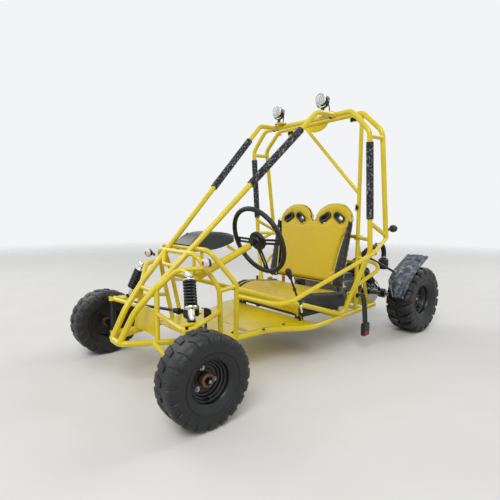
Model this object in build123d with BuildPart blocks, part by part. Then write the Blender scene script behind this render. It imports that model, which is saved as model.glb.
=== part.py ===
from build123d import *

import os
from math import cos, radians, sin

# Two-seat off-road buggy with a bent-tube cage, in millimetres.
# The driver looks along -Y, their left hand is on the +X side, and Z is up from the ground.
# Stations are distances behind the front axle.
# The origin is on the ground, midway between the foremost and the rearmost points of the tyres.

os.makedirs("parts", exist_ok=True)

# Wheels and tyres
wheelbase = 1627
kingpin_half = 362
kingpin_to_wheel = 109
front_half_track = kingpin_half + kingpin_to_wheel
front_tyre_radius = 165
front_tyre_width = 132
front_rim_radius = 78
rear_half_track = 385
rear_tyre_radius = 203
rear_tyre_width = 160
rear_rim_radius = 90
rim_wall = 3
tyre_shoulder = 22
front_lugs = 20
front_lug_depth = 9
rear_lugs = 18
rear_lug_depth = 12
groove_inset = 5
tread_share = 0.74
centre_share = 0.16

front_axle_y = -(wheelbase + rear_tyre_radius - front_tyre_radius) / 2
rear_axle_y = front_axle_y + wheelbase

# Frame tubes
main_radius = 13
brace_radius = 11
strut_radius = 10
link_radius = 9
thin_radius = 7
long_bend = 150
bend = 60
tight_bend = 40

# Lower frame
rail_height = 180
nose_height = 200
nose_station = -125
nose_half_width = 48
rail_front_half = 240
rail_front_station = 320
rail_waist_station = 520
rail_seat_half = 346
rail_seat_station = 700
rail_rear_half = 262
rail_rear_station = 1411
seat_cross_station = 740
hoop_cross_station = 985
engine_cross_station = 1215
engine_rear_cross_station = 1335

# Main hoop and the side rails that it turns into
main_hoop_station = 1001
main_hoop_top = 1250
hoop_top_half = 325
hoop_shoulder_half = 435
hoop_shoulder_height = 1135
leg_bend_station = 1045
leg_bend_height = 536
leg_foot_half = 320
side_rail_end_height = 412

# Rear hoop
rear_hoop_station = 1114
rear_hoop_top = 1262
rear_foot_station = 1192
rear_foot_height = 600
post_half = 310
post_foot_half = 288
post_foot_station = 1150
seat_bar_height = 600

# Front pillars, from the nose to the roof
pillar_nose_half = 40
pillar_knee = (46, -62, 318)
pillar_elbow = (72, 35, 428)
pillar_roof_half = 216
pillar_roof_station = 862
pillar_roof_height = 1243

# Hoops across the driver's feet
front_hoop_station = 165
front_hoop_top = 558
front_hoop_half = 165
front_hoop_shoulder = (250, 225, 418)
dash_hoop_station = 205
dash_hoop_top = 575
dash_hoop_half = 205
dash_hoop_shoulder = (285, 290, 432)

# Foam sleeves
sleeve_radius = 18
sleeve_gap = 0.3
pillar_sleeve_low_station = 478
pillar_sleeve_high_station = 762
leg_sleeve_low = 705
leg_sleeve_high = 1082

# Steering
steering_half_offset = 150
steering_wheel_station = 527
steering_wheel_height = 600
steering_wheel_radius = 165
steering_grip_radius = 12
column_slope = 22.5
column_low_station = 120
shaft_radius = 9
column_radius = 16
drop_arm_length = 120
kingpin_radius = 6
kingpin_gap = 0.05
barrel_radius = 15
barrel_low = 140
barrel_high = 292
eye_radius = 17
pivot_face_gap = 0.5
steering_arm_reach = 105
steering_arm_height = 250
steering_arm_inset = 22
rod_radius = 7

# Seat
seat_half_width = 282
cushion_front_station = 705
cushion_rear_station = 1075
cushion_low = 214
cushion_high = 330
backrest_half_width = 288
backrest_thickness = 75
backrest_lean = 12
backrest_low = 330.3
backrest_lobe_half = 146
backrest_lobe_top = 812
backrest_shoulder = 700
backrest_foot_station = 1010

# Rear end
swing_pivot_station = 1462
swing_pivot_height = 230
swing_half_width = 170
axle_radius = 12.5
axle_gap = 0.05
bearing_radius = 30
bearing_width = 36
sprocket_radius = 82
sprocket_offset = -100
disc_radius = 80
disc_offset = 95


# Rear hoop and seat posts
shoulder_drop = 112
link_share = 0.75
link_top_share = 0.04
link_top_end_share = 0.06
link_low_end_share = 0.97
seat_bar_inset = 22
seat_bar_station = 1215
diagonal_top_half = -100
diagonal_share = 0.39
stay_half = 235
stay_foot_half = 195
shock_bar_height = 440

# Front braces
front_hoop_foot_station = 258
tower_low = (66, 22, 402)
tower_corner = (143, 85, 495)
shock_top_place = (217, 99, 488)
shock_tab_share = 0.15
shock_tab_reach = 15
upright_station = 10
tower_end_share = 0.4
nose_bracket_top_station = 158
nose_bracket_corner = (45, 124, 500)
bulkhead_low = 215
bulkhead_high = 330
bulkhead_half = 85
upright_share = 0.05
foot_link_front_share = 0.05
foot_link_rear_share = 0.02
upper_front_share = 0.49
upper_rear_share = 0.44
lower_front_station = -5
lower_rear_station = 130
arm_cross_front_share = 0.75
arm_cross_rear_share = 0.5
eye_clearance = 2
arm_apex_reach = 8
arm_bend = 25

# Guards
guard_front_height = 382
guard_elbow = (420, 437, 341)
guard_hip = (464, 1030, 530)
rear_guard_high = 490
rear_guard_corner = (435, 1180, 450)
rear_guard_share = 0.54

# Floor pan
pan_inset = 8
pan_thickness = 4
pan_front_station = 150
pan_rear_station = 735
pan_hole_station = 392
pan_hole_offsets = (-190, -70, 70, 190)
pan_hole_length = 70
pan_hole_width = 36

# Seat details
seat_gap = 0.3
base_thickness = 8
base_inset = 30
foot_offset = 230
foot_width = 40
cushion_crown = 30
cushion_nose = 70
cushion_round = 25
cushion_edge = 15
tab_reach = 60
tab_height = 40
tab_thickness = 6
belt_slot_length = 62
belt_slot_width = 22
belt_slot_tilt = 30
belt_slot_offset = 50
belt_slot_height = 712

# Dash pod, as stations and heights of its side view
pod_half_width = 80
pod_front = (196, 587)
pod_brow = (252, 630)
pod_crest = (330, 642)
pod_tail = (438, 626)
pod_tail_low = (428, 572)
pod_step = (218, 562)
pod_round = 16
pod_bracket_station = 395
pod_bracket_lap = 12
pod_bracket_width = 45

# Shock absorbers
shock_end_gap = 0.3
shock_body_radius = 14
shock_rod_radius = 10
spring_low_share = 0.3
spring_high_share = 0.9
spring_turns = 7
spring_radius = 27
spring_wire = 8
turn_shares = (0.15, 0.6, 0.75)

# Steering details
column_start_station = 152
column_end_station = 470
bracket_thickness = 6
steering_hub_radius = 40
spoke_width = 26
spoke_thickness = 8
drop_arm_width = 24
drop_arm_thickness = 8
rod_spread = 14
rod_clearance = 8
rod_eye_radius = 10
rod_eye_width = 12
rod_pin_radius = 4
arm_plate = 10
steering_arm_half = 10
rod_start_share = 0.02
kingpin_stick_out = 30

# Wheel details
spindle_radius = 10
spindle_collar = 6
spindle_stick_out = 12
hub_half_width = 30
hub_radius = 24
bead_share = 0.75
disc_out = 12
disc_dish = 10
axle_stub_radius = 10
axle_stub_length = 22
flange_thickness = 8
plate_thickness = 6

# Rear end details
ear_offset = 120
rear_shock_half = 170
rear_shock_station = 1570
rear_shock_foot_height = 240
engine_half_width = 120
engine_front = 1195
engine_rear = 1360
engine_low = 210
engine_high = 360
engine_round = 14
cylinder_offset = 40
cylinder_station = 1244
cylinder_width = 110
cylinder_height = 65
head_cover_width = 64
head_cover_height = 26
belt_case_station = 1315
belt_case_height = 280
belt_case_span = 130
belt_case_radius = 50
belt_case_depth = 20
fan_cover_station = 1270
fan_cover_radius = 60
fan_cover_depth = 30
fin_depth = 12
fin_thickness = 5
fin_count = 5
hose_radius = 16
hose_bend = 40
hose_low = (60, 1350, 393)
hose_top_front = (185, 1430, 515)
hose_top_rear = (185, 1570, 535)
hose_end = (185, 1600, 440)
carburettor_radius = 24
carburettor_front_share = 0.25
carburettor_rear_share = 0.85
filter_radius = 32
filter_length = 70
silencer_left = 135
silencer_right = -85
silencer_station = 1490
silencer_height = 340
silencer_radius = 45
silencer_round = 12
pipe_lap = 5

# Rear mudguards
mudguard_inner = 318
mudguard_width = 137
mudguard_radius = 228
mudguard_wall = 4
mudguard_front_angle = 172
mudguard_flare_angle = 118
mudguard_flare = 150
mudguard_waist_height = 330
mudguard_tip_height = 225
mudguard_tip_inner_inset = 57
mudguard_tip_outer_inset = 25
mudguard_stay_angle = 130
mudguard_stay_share = 0.3

# Lamps, pedals and lever
roof_lamp_place = (166, 939, 1329)
roof_lamp_radius = 33
roof_lamp_depth = 52
roof_lamp_bowl = ((1, 0.14), (0.92, 0.42), (0.6, 0.8), (0.25, 1))
lamp_bracket_half = 15
indicator_place = (260, 148, 532)
indicator_radius = 22
indicator_depth = 25
indicator_share = 0.25
tail_lamp_place = (437, 1245, 652)
tail_lamp_radius = 20
tail_lamp_depth = 30
tail_lamp_share = 0.92
pedal_offsets = (95, 190)
pedal_station = 200
pedal_stem = 8
pedal_height = 130
pedal_pad = 50
lever_station = 680
lever_lean_out = 4
lever_lean_front = 80
lever_height = 155
knob_radius = 14


def at(x, station, height):
    """A point from its side offset, its distance behind the front axle and its height."""
    return (x, front_axle_y + station, height)


def between(low, high, share):
    """The point that lies the given share of the way from one point to another."""
    return tuple(a + (b - a) * share for a, b in zip(low, high))


def bend_tube(points, radius, bends=None):
    """Adds a round tube along the points to the part being built, with its corners bent."""
    with BuildLine(mode=Mode.PRIVATE) as route:
        if bends is None:
            Line(points[0], points[1])
        else:
            FilletPolyline(*points, radius=bends)
    start = Plane(origin=route.line @ 0, z_dir=route.line % 0)
    with BuildSketch(start, mode=Mode.PRIVATE) as section:
        Circle(radius)
    sweep(sections=section.sketch, path=route.line)


def rail_half(station):
    """Half the width between the lower rails' centre lines at a station."""
    corners = (
        (nose_station, nose_half_width),
        (rail_front_station, rail_front_half),
        (rail_waist_station, rail_front_half),
        (rail_seat_station, rail_seat_half),
        (rail_rear_station, rail_rear_half),
    )
    for (front, front_half), (rear, rear_half) in zip(corners, corners[1:]):
        if station <= rear:
            return front_half + (rear_half - front_half) * (station - front) / (rear - front)
    return rail_rear_half


def rail_level(station):
    """Height of the lower rails' centre lines at a station."""
    share = min(1, (station - nose_station) / (rail_front_station - nose_station))
    return nose_height + (rail_height - nose_height) * share


def pillar_at(station):
    """The point on the left front pillar's long straight run at a station."""
    roof = (pillar_roof_half, pillar_roof_station, pillar_roof_height)
    share = (station - pillar_elbow[1]) / (roof[1] - pillar_elbow[1])
    return at(*between(pillar_elbow, roof, share))


# Lower frame: the two rails, one closed loop, and the cross tubes between them
with BuildPart() as lower_frame:
    bend_tube(
        [
            at(0, nose_station, nose_height),
            at(nose_half_width, nose_station, nose_height),
            at(rail_front_half, rail_front_station, rail_height),
            at(rail_front_half, rail_waist_station, rail_height),
            at(rail_seat_half, rail_seat_station, rail_height),
            at(rail_rear_half, rail_rear_station, rail_height),
            at(0, rail_rear_station, rail_height),
        ],
        main_radius,
        [tight_bend, long_bend, long_bend, long_bend, bend],
    )
    for station in (
        rail_front_station,
        seat_cross_station,
        hoop_cross_station,
        engine_cross_station,
        engine_rear_cross_station,
    ):
        bend_tube(
            [at(0, station, rail_height), at(rail_half(station), station, rail_height)],
            brace_radius,
        )
    with BuildSketch(Plane.YZ.offset(ear_offset)):
        with BuildLine():
            Polyline(
                (front_axle_y + rail_rear_station - main_radius, rail_height),
                (front_axle_y + rail_rear_station, rail_height + 2 * main_radius),
                (front_axle_y + swing_pivot_station, swing_pivot_height + 2 * main_radius),
                (front_axle_y + swing_pivot_station + 2 * main_radius, swing_pivot_height),
                (front_axle_y + rail_rear_station, rail_height - main_radius),
                close=True,
            )
        make_face()
        with Locations((front_axle_y + swing_pivot_station, swing_pivot_height)):
            Circle(main_radius, mode=Mode.SUBTRACT)
    extrude(amount=plate_thickness / 2, both=True)
    mirror(about=Plane.YZ)
lower_frame.part.label = "lower_frame"

# Main hoop: roof bar, shoulders, legs and the side rails in front of their feet
dash_leg_foot = at(rail_half(rail_front_station), rail_front_station, rail_height)
side_rail_share = (dash_hoop_shoulder[2] - side_rail_end_height) / (dash_hoop_shoulder[2] - rail_height)
side_rail_end = between(at(*dash_hoop_shoulder), dash_leg_foot, side_rail_share)
leg_bend = at(hoop_shoulder_half, leg_bend_station, leg_bend_height)
leg_foot = at(leg_foot_half, hoop_cross_station, rail_height + brace_radius)
with BuildPart() as main_hoop:
    bend_tube(
        [
            at(0, main_hoop_station, main_hoop_top),
            at(hoop_top_half, main_hoop_station, main_hoop_top),
            at(hoop_shoulder_half, main_hoop_station, hoop_shoulder_height),
            leg_bend,
            leg_foot,
            side_rail_end,
        ],
        main_radius,
        [bend, bend, bend, tight_bend],
    )
    mirror(about=Plane.YZ)
    add(lower_frame.part, mode=Mode.SUBTRACT)
main_hoop.part.label = "main_hoop"

# Front pillars, which run in one piece from the nose to the roof bar
with BuildPart() as front_pillars:
    bend_tube(
        [
            at(pillar_nose_half, nose_station, nose_height),
            at(*pillar_knee),
            at(*pillar_elbow),
            at(pillar_roof_half, pillar_roof_station, pillar_roof_height),
            at(pillar_roof_half, main_hoop_station, main_hoop_top),
        ],
        main_radius,
        [long_bend, long_bend, bend],
    )
    mirror(about=Plane.YZ)
    add(lower_frame.part, mode=Mode.SUBTRACT)
    add(main_hoop.part, mode=Mode.SUBTRACT)
front_pillars.part.label = "front_pillars"

# Rear hoop, its links to the main hoop and the sloping links at its feet
rear_shoulder = at(hoop_shoulder_half, rear_hoop_station, rear_hoop_top - shoulder_drop)
rear_foot = at(hoop_shoulder_half, rear_foot_station, rear_foot_height)
leg_top = at(hoop_shoulder_half, main_hoop_station, hoop_shoulder_height)
with BuildPart() as rear_hoop:
    bend_tube(
        [
            at(0, rear_hoop_station, rear_hoop_top),
            at(hoop_top_half - brace_radius, rear_hoop_station, rear_hoop_top),
            rear_shoulder,
            rear_foot,
        ],
        main_radius,
        [bend, bend],
    )
    for front_share, rear_share in ((link_top_share, link_top_end_share), (link_share, link_low_end_share)):
        bend_tube(
            [between(leg_top, leg_bend, front_share), between(rear_shoulder, rear_foot, rear_share)],
            brace_radius,
        )
    mirror(about=Plane.YZ)
    add(main_hoop.part, mode=Mode.SUBTRACT)
rear_hoop.part.label = "rear_hoop"

# Backrest with its two rounded tops, leaning back
lean = radians(backrest_lean)
backrest_plane = Plane(
    origin=at(0, backrest_foot_station, backrest_low), x_dir=(1, 0, 0), z_dir=(0, -cos(lean), sin(lean))
)
with BuildPart() as seat_back:
    with BuildSketch(backrest_plane) as outline:
        shoulder_rise = (backrest_shoulder - backrest_low) / cos(lean)
        lobe_rise = (backrest_lobe_top - backrest_low) / cos(lean)
        with Locations((0, shoulder_rise / 2)):
            Rectangle(2 * backrest_half_width, shoulder_rise)
        with Locations(*[(side * backrest_lobe_half, shoulder_rise) for side in (-1, 1)]):
            Ellipse(backrest_half_width - backrest_lobe_half, lobe_rise - shoulder_rise)
    extrude(amount=-backrest_thickness)
    with BuildSketch(backrest_plane):
        slot_rise = (belt_slot_height - backrest_low) / cos(lean)
        for lobe in (-1, 1):
            for slot_side in (-1, 1):
                slot_half = lobe * backrest_lobe_half + slot_side * belt_slot_offset
                with Locations(Location((slot_half, slot_rise), -slot_side * belt_slot_tilt)):
                    SlotOverall(belt_slot_length, belt_slot_width)
    extrude(amount=-backrest_thickness, mode=Mode.SUBTRACT)
seat_back.part.label = "seat_back"

# Seat posts: the left one reaches the roof, with the diagonal, and the right one the seat bar
post_top = at(post_half, rear_hoop_station, rear_hoop_top)
post_foot = at(post_foot_half, post_foot_station, rail_height)
post_at_bar = between(post_top, post_foot, (rear_hoop_top - seat_bar_height) / (rear_hoop_top - rail_height))
leg_at_bar = between(leg_top, leg_bend, link_share)
with BuildPart() as seat_posts:
    bend_tube([post_at_bar, post_foot], brace_radius)
    bend_tube([post_at_bar, (leg_at_bar[0], leg_at_bar[1], seat_bar_height)], strut_radius)
    bend_tube(
        [
            post_at_bar,
            at(post_at_bar[0] - seat_bar_inset, seat_bar_station, seat_bar_height),
            at(0, seat_bar_station, seat_bar_height),
        ],
        brace_radius,
        [tight_bend],
    )
    mirror(about=Plane.YZ)
    bend_tube([post_top, post_at_bar], brace_radius)
    bend_tube(
        [at(diagonal_top_half, rear_hoop_station, rear_hoop_top), between(post_top, post_foot, diagonal_share)],
        strut_radius,
    )
    for side in (-1, 1):
        with BuildSketch(Plane.YZ.offset(side * backrest_lobe_half)):
            with Locations((front_axle_y + seat_bar_station - tab_reach / 2, seat_bar_height)):
                Rectangle(tab_reach, tab_height)
        extrude(amount=tab_thickness / 2, both=True)
    for cutter in (rear_hoop, main_hoop, lower_frame, seat_back):
        add(cutter.part, mode=Mode.SUBTRACT)
seat_posts.part.label = "seat_posts"

# Rear stays, from the seat bar down to the rear of the rails, with the shock absorbers' bar
stay_top = at(stay_half, seat_bar_station, seat_bar_height)
stay_foot = at(stay_foot_half, rail_rear_station, rail_height)
shock_bar_share = (seat_bar_height - shock_bar_height) / (seat_bar_height - rail_height)
shock_bar = between(stay_top, stay_foot, shock_bar_share)
with BuildPart() as rear_stays:
    bend_tube([stay_top, stay_foot], strut_radius)
    bend_tube([(0, shock_bar[1], shock_bar[2]), shock_bar], link_radius)
    mirror(about=Plane.YZ)
    add(seat_posts.part, mode=Mode.SUBTRACT)
    add(lower_frame.part, mode=Mode.SUBTRACT)
rear_stays.part.label = "rear_stays"

# Hoops across the driver's feet
dash_shoulder = at(*dash_hoop_shoulder)
front_shoulder = at(*front_hoop_shoulder)
front_leg_foot = at(
    rail_half(front_hoop_foot_station), front_hoop_foot_station, rail_level(front_hoop_foot_station)
)
with BuildPart() as dash_hoop:
    bend_tube(
        [
            at(0, dash_hoop_station, dash_hoop_top),
            at(dash_hoop_half, dash_hoop_station, dash_hoop_top),
            dash_shoulder,
            dash_leg_foot,
        ],
        brace_radius,
        [bend, bend],
    )
    mirror(about=Plane.YZ)
    for cutter in (lower_frame, main_hoop, front_pillars):
        add(cutter.part, mode=Mode.SUBTRACT)
dash_hoop.part.label = "dash_hoop"

with BuildPart() as front_hoop:
    bend_tube(
        [
            at(0, front_hoop_station, front_hoop_top),
            at(front_hoop_half, front_hoop_station, front_hoop_top),
            front_shoulder,
            front_leg_foot,
        ],
        brace_radius,
        [bend, bend],
    )
    bend_tube(
        [
            between(front_shoulder, front_leg_foot, foot_link_front_share),
            between(dash_shoulder, dash_leg_foot, foot_link_rear_share),
        ],
        strut_radius,
    )
    mirror(about=Plane.YZ)
    for cutter in (lower_frame, main_hoop, dash_hoop, front_pillars):
        add(cutter.part, mode=Mode.SUBTRACT)
front_hoop.part.label = "front_hoop"

# Shock towers, one tube across the nose, with the uprights, the bulkhead and the bracket between the pillars
upright_top = between(at(*pillar_elbow), at(*pillar_knee), upright_share)
upright_foot = at(rail_half(upright_station), upright_station, rail_level(upright_station))
front_hoop_corner = at(front_hoop_half, front_hoop_station, front_hoop_top)
tower_end = between(front_hoop_corner, front_shoulder, tower_end_share)
with BuildPart() as shock_towers:
    bend_tube(
        [at(0, *tower_low[1:]), at(*tower_low), at(*tower_corner), tower_end],
        strut_radius,
        [tight_bend, bend],
    )
    bend_tube([upright_top, upright_foot], brace_radius)
    bend_tube(
        [
            at(0, *nose_bracket_corner[1:]),
            at(*nose_bracket_corner),
            pillar_at(nose_bracket_top_station),
        ],
        link_radius,
        [arm_bend],
    )
    bend_tube(
        [
            between(at(*tower_corner), tower_end, shock_tab_share),
            at(shock_top_place[0] + shock_tab_reach, *shock_top_place[1:]),
        ],
        thin_radius,
    )
    with BuildSketch(Plane.XZ.offset(-(front_axle_y + upright_station))):
        with Locations((bulkhead_half / 2, (bulkhead_low + bulkhead_high) / 2)):
            Rectangle(bulkhead_half, bulkhead_high - bulkhead_low)
    extrude(amount=plate_thickness / 2, both=True)
    mirror(about=Plane.YZ)
    for cutter in (lower_frame, front_hoop, front_pillars):
        add(cutter.part, mode=Mode.SUBTRACT)
shock_towers.part.label = "shock_towers"

# Side guards, from the dash hoop out past the main hoop to the rear hoop's foot
with BuildPart() as guard:
    guard_share = (dash_hoop_shoulder[2] - guard_front_height) / (dash_hoop_shoulder[2] - rail_height)
    guard_front = between(dash_shoulder, dash_leg_foot, guard_share)
    bend_tube(
        [guard_front, at(*guard_elbow), at(*guard_hip), rear_foot],
        strut_radius,
        [long_bend, long_bend],
    )
    for cutter in (dash_hoop, main_hoop, rear_hoop):
        add(cutter.part, mode=Mode.SUBTRACT)

with BuildPart() as side_guard_left:
    add(guard.part)
side_guard_left.part.label = "side_guard_left"

with BuildPart() as side_guard_right:
    add(guard.part)
    mirror(about=Plane.YZ, mode=Mode.REPLACE)
side_guard_right.part.label = "side_guard_right"

# Rear guards, bent round behind the main hoop's legs
with BuildPart() as rear_guards:
    bend_tube(
        [
            between(post_top, post_foot, (rear_hoop_top - rear_guard_high) / (rear_hoop_top - rail_height)),
            at(*rear_guard_corner),
            between(leg_bend, leg_foot, rear_guard_share),
        ],
        strut_radius,
        [tight_bend],
    )
    mirror(about=Plane.YZ)
    for cutter in (seat_posts, main_hoop):
        add(cutter.part, mode=Mode.SUBTRACT)
rear_guards.part.label = "rear_guards"

# Foam sleeves on the pillars and on the main hoop's legs
with BuildPart() as foam_sleeves:
    leg_run = leg_top[2] - leg_bend[2]
    for low, high in (
        (pillar_at(pillar_sleeve_low_station), pillar_at(pillar_sleeve_high_station)),
        (
            between(leg_top, leg_bend, (leg_top[2] - leg_sleeve_low) / leg_run),
            between(leg_top, leg_bend, (leg_top[2] - leg_sleeve_high) / leg_run),
        ),
    ):
        along = Vector(*high) - Vector(*low)
        with BuildSketch(Plane(origin=low, z_dir=along)):
            Circle(sleeve_radius)
            Circle(main_radius + sleeve_gap, mode=Mode.SUBTRACT)
        extrude(amount=along.length)
    mirror(about=Plane.YZ)
foam_sleeves.part.label = "foam_sleeves"

# Floor pan, laid on the cross tubes between the rails
pan_bottom = rail_height + brace_radius
pan_stations = (pan_front_station, rail_front_station, rail_waist_station, rail_seat_station, pan_rear_station)
with BuildPart() as floor_pan:
    with BuildSketch(Plane.XY.offset(pan_bottom)):
        with BuildLine():
            Polyline(
                *[
                    at(side * (rail_half(station) - pan_inset), station, 0)[:2]
                    for side, stations in ((1, pan_stations), (-1, tuple(reversed(pan_stations))))
                    for station in stations
                ],
                close=True,
            )
        make_face()
        with Locations(*[at(x, pan_hole_station, 0)[:2] for x in pan_hole_offsets]):
            SlotOverall(pan_hole_length, pan_hole_width, mode=Mode.SUBTRACT)
    extrude(amount=pan_thickness)
    for cutter in (lower_frame, dash_hoop, front_hoop):
        add(cutter.part, mode=Mode.SUBTRACT)
floor_pan.part.label = "floor_pan"

# Seat base on its four feet
base_top = cushion_low - seat_gap
with BuildPart() as seat_base:
    with BuildSketch(Plane.XY.offset(base_top - base_thickness)):
        with Locations(at(0, (cushion_front_station + cushion_rear_station) / 2, 0)[:2]):
            RectangleRounded(
                2 * (seat_half_width - base_inset),
                cushion_rear_station - cushion_front_station - 2 * base_inset,
                base_inset,
            )
    extrude(amount=base_thickness)
    with BuildSketch(Plane.XY.offset(rail_height)):
        with Locations(
            *[
                at(x, station, 0)[:2]
                for x in (-foot_offset, foot_offset)
                for station in (seat_cross_station, hoop_cross_station)
            ]
        ):
            Rectangle(foot_width, 2 * brace_radius)
    extrude(amount=base_top - base_thickness - rail_height)
    add(lower_frame.part, mode=Mode.SUBTRACT)
    add(floor_pan.part, mode=Mode.SUBTRACT)
seat_base.part.label = "seat_base"

# Seat cushion
with BuildPart() as seat_cushion:
    cushion_profile = Plane(origin=(-seat_half_width, 0, 0), x_dir=(0, 1, 0), z_dir=(1, 0, 0))
    with BuildSketch(cushion_profile) as side:
        with BuildLine():
            Polyline(
                (front_axle_y + cushion_front_station, cushion_low),
                (front_axle_y + cushion_front_station, cushion_high - cushion_crown),
                (front_axle_y + cushion_front_station + cushion_nose, cushion_high),
                (front_axle_y + cushion_rear_station, cushion_high - cushion_crown),
                (front_axle_y + cushion_rear_station, cushion_low),
                close=True,
            )
        make_face()
        fillet(side.vertices().group_by(Axis.Z)[-1], cushion_round)
    extrude(amount=2 * seat_half_width)
    fillet(seat_cushion.faces().group_by(Axis.X)[0].edges(), cushion_edge)
    fillet(seat_cushion.faces().group_by(Axis.X)[-1].edges(), cushion_edge)
seat_cushion.part.label = "seat_cushion"

# Moulded dash pod, a humped shell between the pillars that rests on the dash hoop
with BuildPart() as dash_tray:
    with BuildSketch(Plane.YZ.offset(-pod_half_width)):
        with BuildLine():
            Spline(*[at(0, *place)[1:] for place in (pod_front, pod_brow, pod_crest, pod_tail)])
            Polyline(
                *[
                    at(0, *place)[1:]
                    for place in (pod_tail, pod_tail_low, pod_step, (pod_step[0], pod_front[1]), pod_front)
                ]
            )
        make_face()
    extrude(amount=2 * pod_half_width)
    for pod_end in (0, -1):
        fillet(dash_tray.faces().group_by(Axis.X)[pod_end].edges().group_by(Axis.Z)[-1], pod_round)
    for cutter in (dash_hoop, front_pillars):
        add(cutter.part, mode=Mode.SUBTRACT)
dash_tray.part.label = "dash_tray"

# Front suspension arms, with their kingpin eyes and a cross tube for the shock absorber's foot
upper_front_pivot = between(upright_top, upright_foot, upper_front_share)
upper_rear_pivot = between(front_shoulder, front_leg_foot, upper_rear_share)
lower_front_pivot = at(rail_half(lower_front_station), lower_front_station, rail_level(lower_front_station))
lower_rear_pivot = at(rail_half(lower_rear_station), lower_rear_station, rail_level(lower_rear_station))
upper_arm_height = barrel_high + pivot_face_gap + strut_radius
lower_arm_height = barrel_low - pivot_face_gap - strut_radius
upper_apex = at(kingpin_half + arm_apex_reach, -arm_apex_reach / 2, upper_arm_height)


def kingpin_eye(height):
    """Adds the flat-faced eye for the kingpin to the arm being built, centred on a height."""
    eye_place = at(kingpin_half, 0, 0)[:2]
    with BuildSketch(Plane.XY.offset(height), mode=Mode.PRIVATE) as eye:
        with Locations(eye_place):
            Circle(eye_radius)
    extrude(eye.sketch, amount=strut_radius, both=True)
    with BuildSketch(Plane.XY.offset(height), mode=Mode.PRIVATE) as faces:
        with Locations(eye_place):
            Circle(eye_radius + eye_clearance)
    for face_side in (-1, 1):
        face = faces.sketch.moved(Location((0, 0, face_side * strut_radius)))
        extrude(face, amount=face_side * 2 * strut_radius, mode=Mode.SUBTRACT)
    with BuildSketch(Plane.XY.offset(height), mode=Mode.PRIVATE) as bore:
        with Locations(eye_place):
            Circle(kingpin_radius + kingpin_gap)
    extrude(bore.sketch, amount=2 * strut_radius, both=True, mode=Mode.SUBTRACT)


arm_cross_front = between(upper_front_pivot, upper_apex, arm_cross_front_share)
arm_cross_rear = between(upper_apex, upper_rear_pivot, arm_cross_rear_share)
with BuildPart() as upper_arms:
    bend_tube([upper_front_pivot, upper_apex, upper_rear_pivot], strut_radius, [arm_bend])
    kingpin_eye(upper_arm_height)
    bend_tube([arm_cross_front, arm_cross_rear], link_radius)
    mirror(about=Plane.YZ)
    for cutter in (front_hoop, shock_towers):
        add(cutter.part, mode=Mode.SUBTRACT)
upper_arms.part.label = "upper_arms"

with BuildPart() as lower_arms:
    for pivot in (lower_front_pivot, lower_rear_pivot):
        bend_tube([pivot, at(kingpin_half, 0, lower_arm_height)], strut_radius)
    kingpin_eye(lower_arm_height)
    mirror(about=Plane.YZ)
    add(lower_frame.part, mode=Mode.SUBTRACT)
lower_arms.part.label = "lower_arms"

# Shock absorbers, front and rear: an eye at each end, a body and a coil spring round it
def shock(low, high):
    """Adds one shock absorber between two points, with its spring as a stack of turns."""
    along = Vector(*high) - Vector(*low)
    length = along.length
    axis = along.normalized()
    side_dir = (0, 1, 0) if abs(axis.Y) < abs(axis.X) else (1, 0, 0)
    base = Plane(origin=low, x_dir=side_dir, z_dir=axis)
    rise_share, crest_share, fall_share = turn_shares
    spring_low = length * spring_low_share
    spring_high = length * spring_high_share
    pitch = (spring_high - spring_low) / spring_turns
    profile = [(0, shock_end_gap), (shock_body_radius, shock_end_gap), (shock_body_radius, spring_low)]
    for turn in range(spring_turns):
        start = spring_low + turn * pitch
        profile += [
            (spring_radius, start + pitch * rise_share),
            (spring_radius, start + pitch * crest_share),
            (spring_radius - spring_wire, start + pitch * fall_share),
            (spring_radius - spring_wire, start + pitch),
        ]
    profile += [
        (shock_rod_radius, spring_high),
        (shock_rod_radius, length - shock_end_gap),
        (0, length - shock_end_gap),
    ]
    with BuildSketch(Plane(origin=base.origin, x_dir=base.x_dir, z_dir=-base.y_dir), mode=Mode.PRIVATE) as half:
        with BuildLine():
            Polyline(*profile, close=True)
        make_face()
    revolve(half.sketch, axis=Axis(base.origin, base.z_dir))


arm_cross_middle = between(arm_cross_front, arm_cross_rear, 0.5)
front_shock_low = (arm_cross_middle[0], arm_cross_middle[1], upper_arm_height + link_radius)
front_shock_high = at(*shock_top_place)
with BuildPart() as front_shocks:
    shock(front_shock_low, (front_shock_high[0], front_shock_high[1], front_shock_high[2] - thin_radius))
    mirror(about=Plane.YZ)
    for cutter in (shock_towers, upper_arms):
        add(cutter.part, mode=Mode.SUBTRACT)
front_shocks.part.label = "front_shocks"

# Steering column, fixed to the two hoops, with a running bore for the shaft
slope = radians(column_slope)
wheel_centre = Vector(*at(steering_half_offset, steering_wheel_station, steering_wheel_height))
column_axis = Vector(0, cos(slope), sin(slope))


def along_column(station):
    """The point on the steering shaft's axis at a station."""
    return wheel_centre + column_axis * ((station - steering_wheel_station) / cos(slope))


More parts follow.
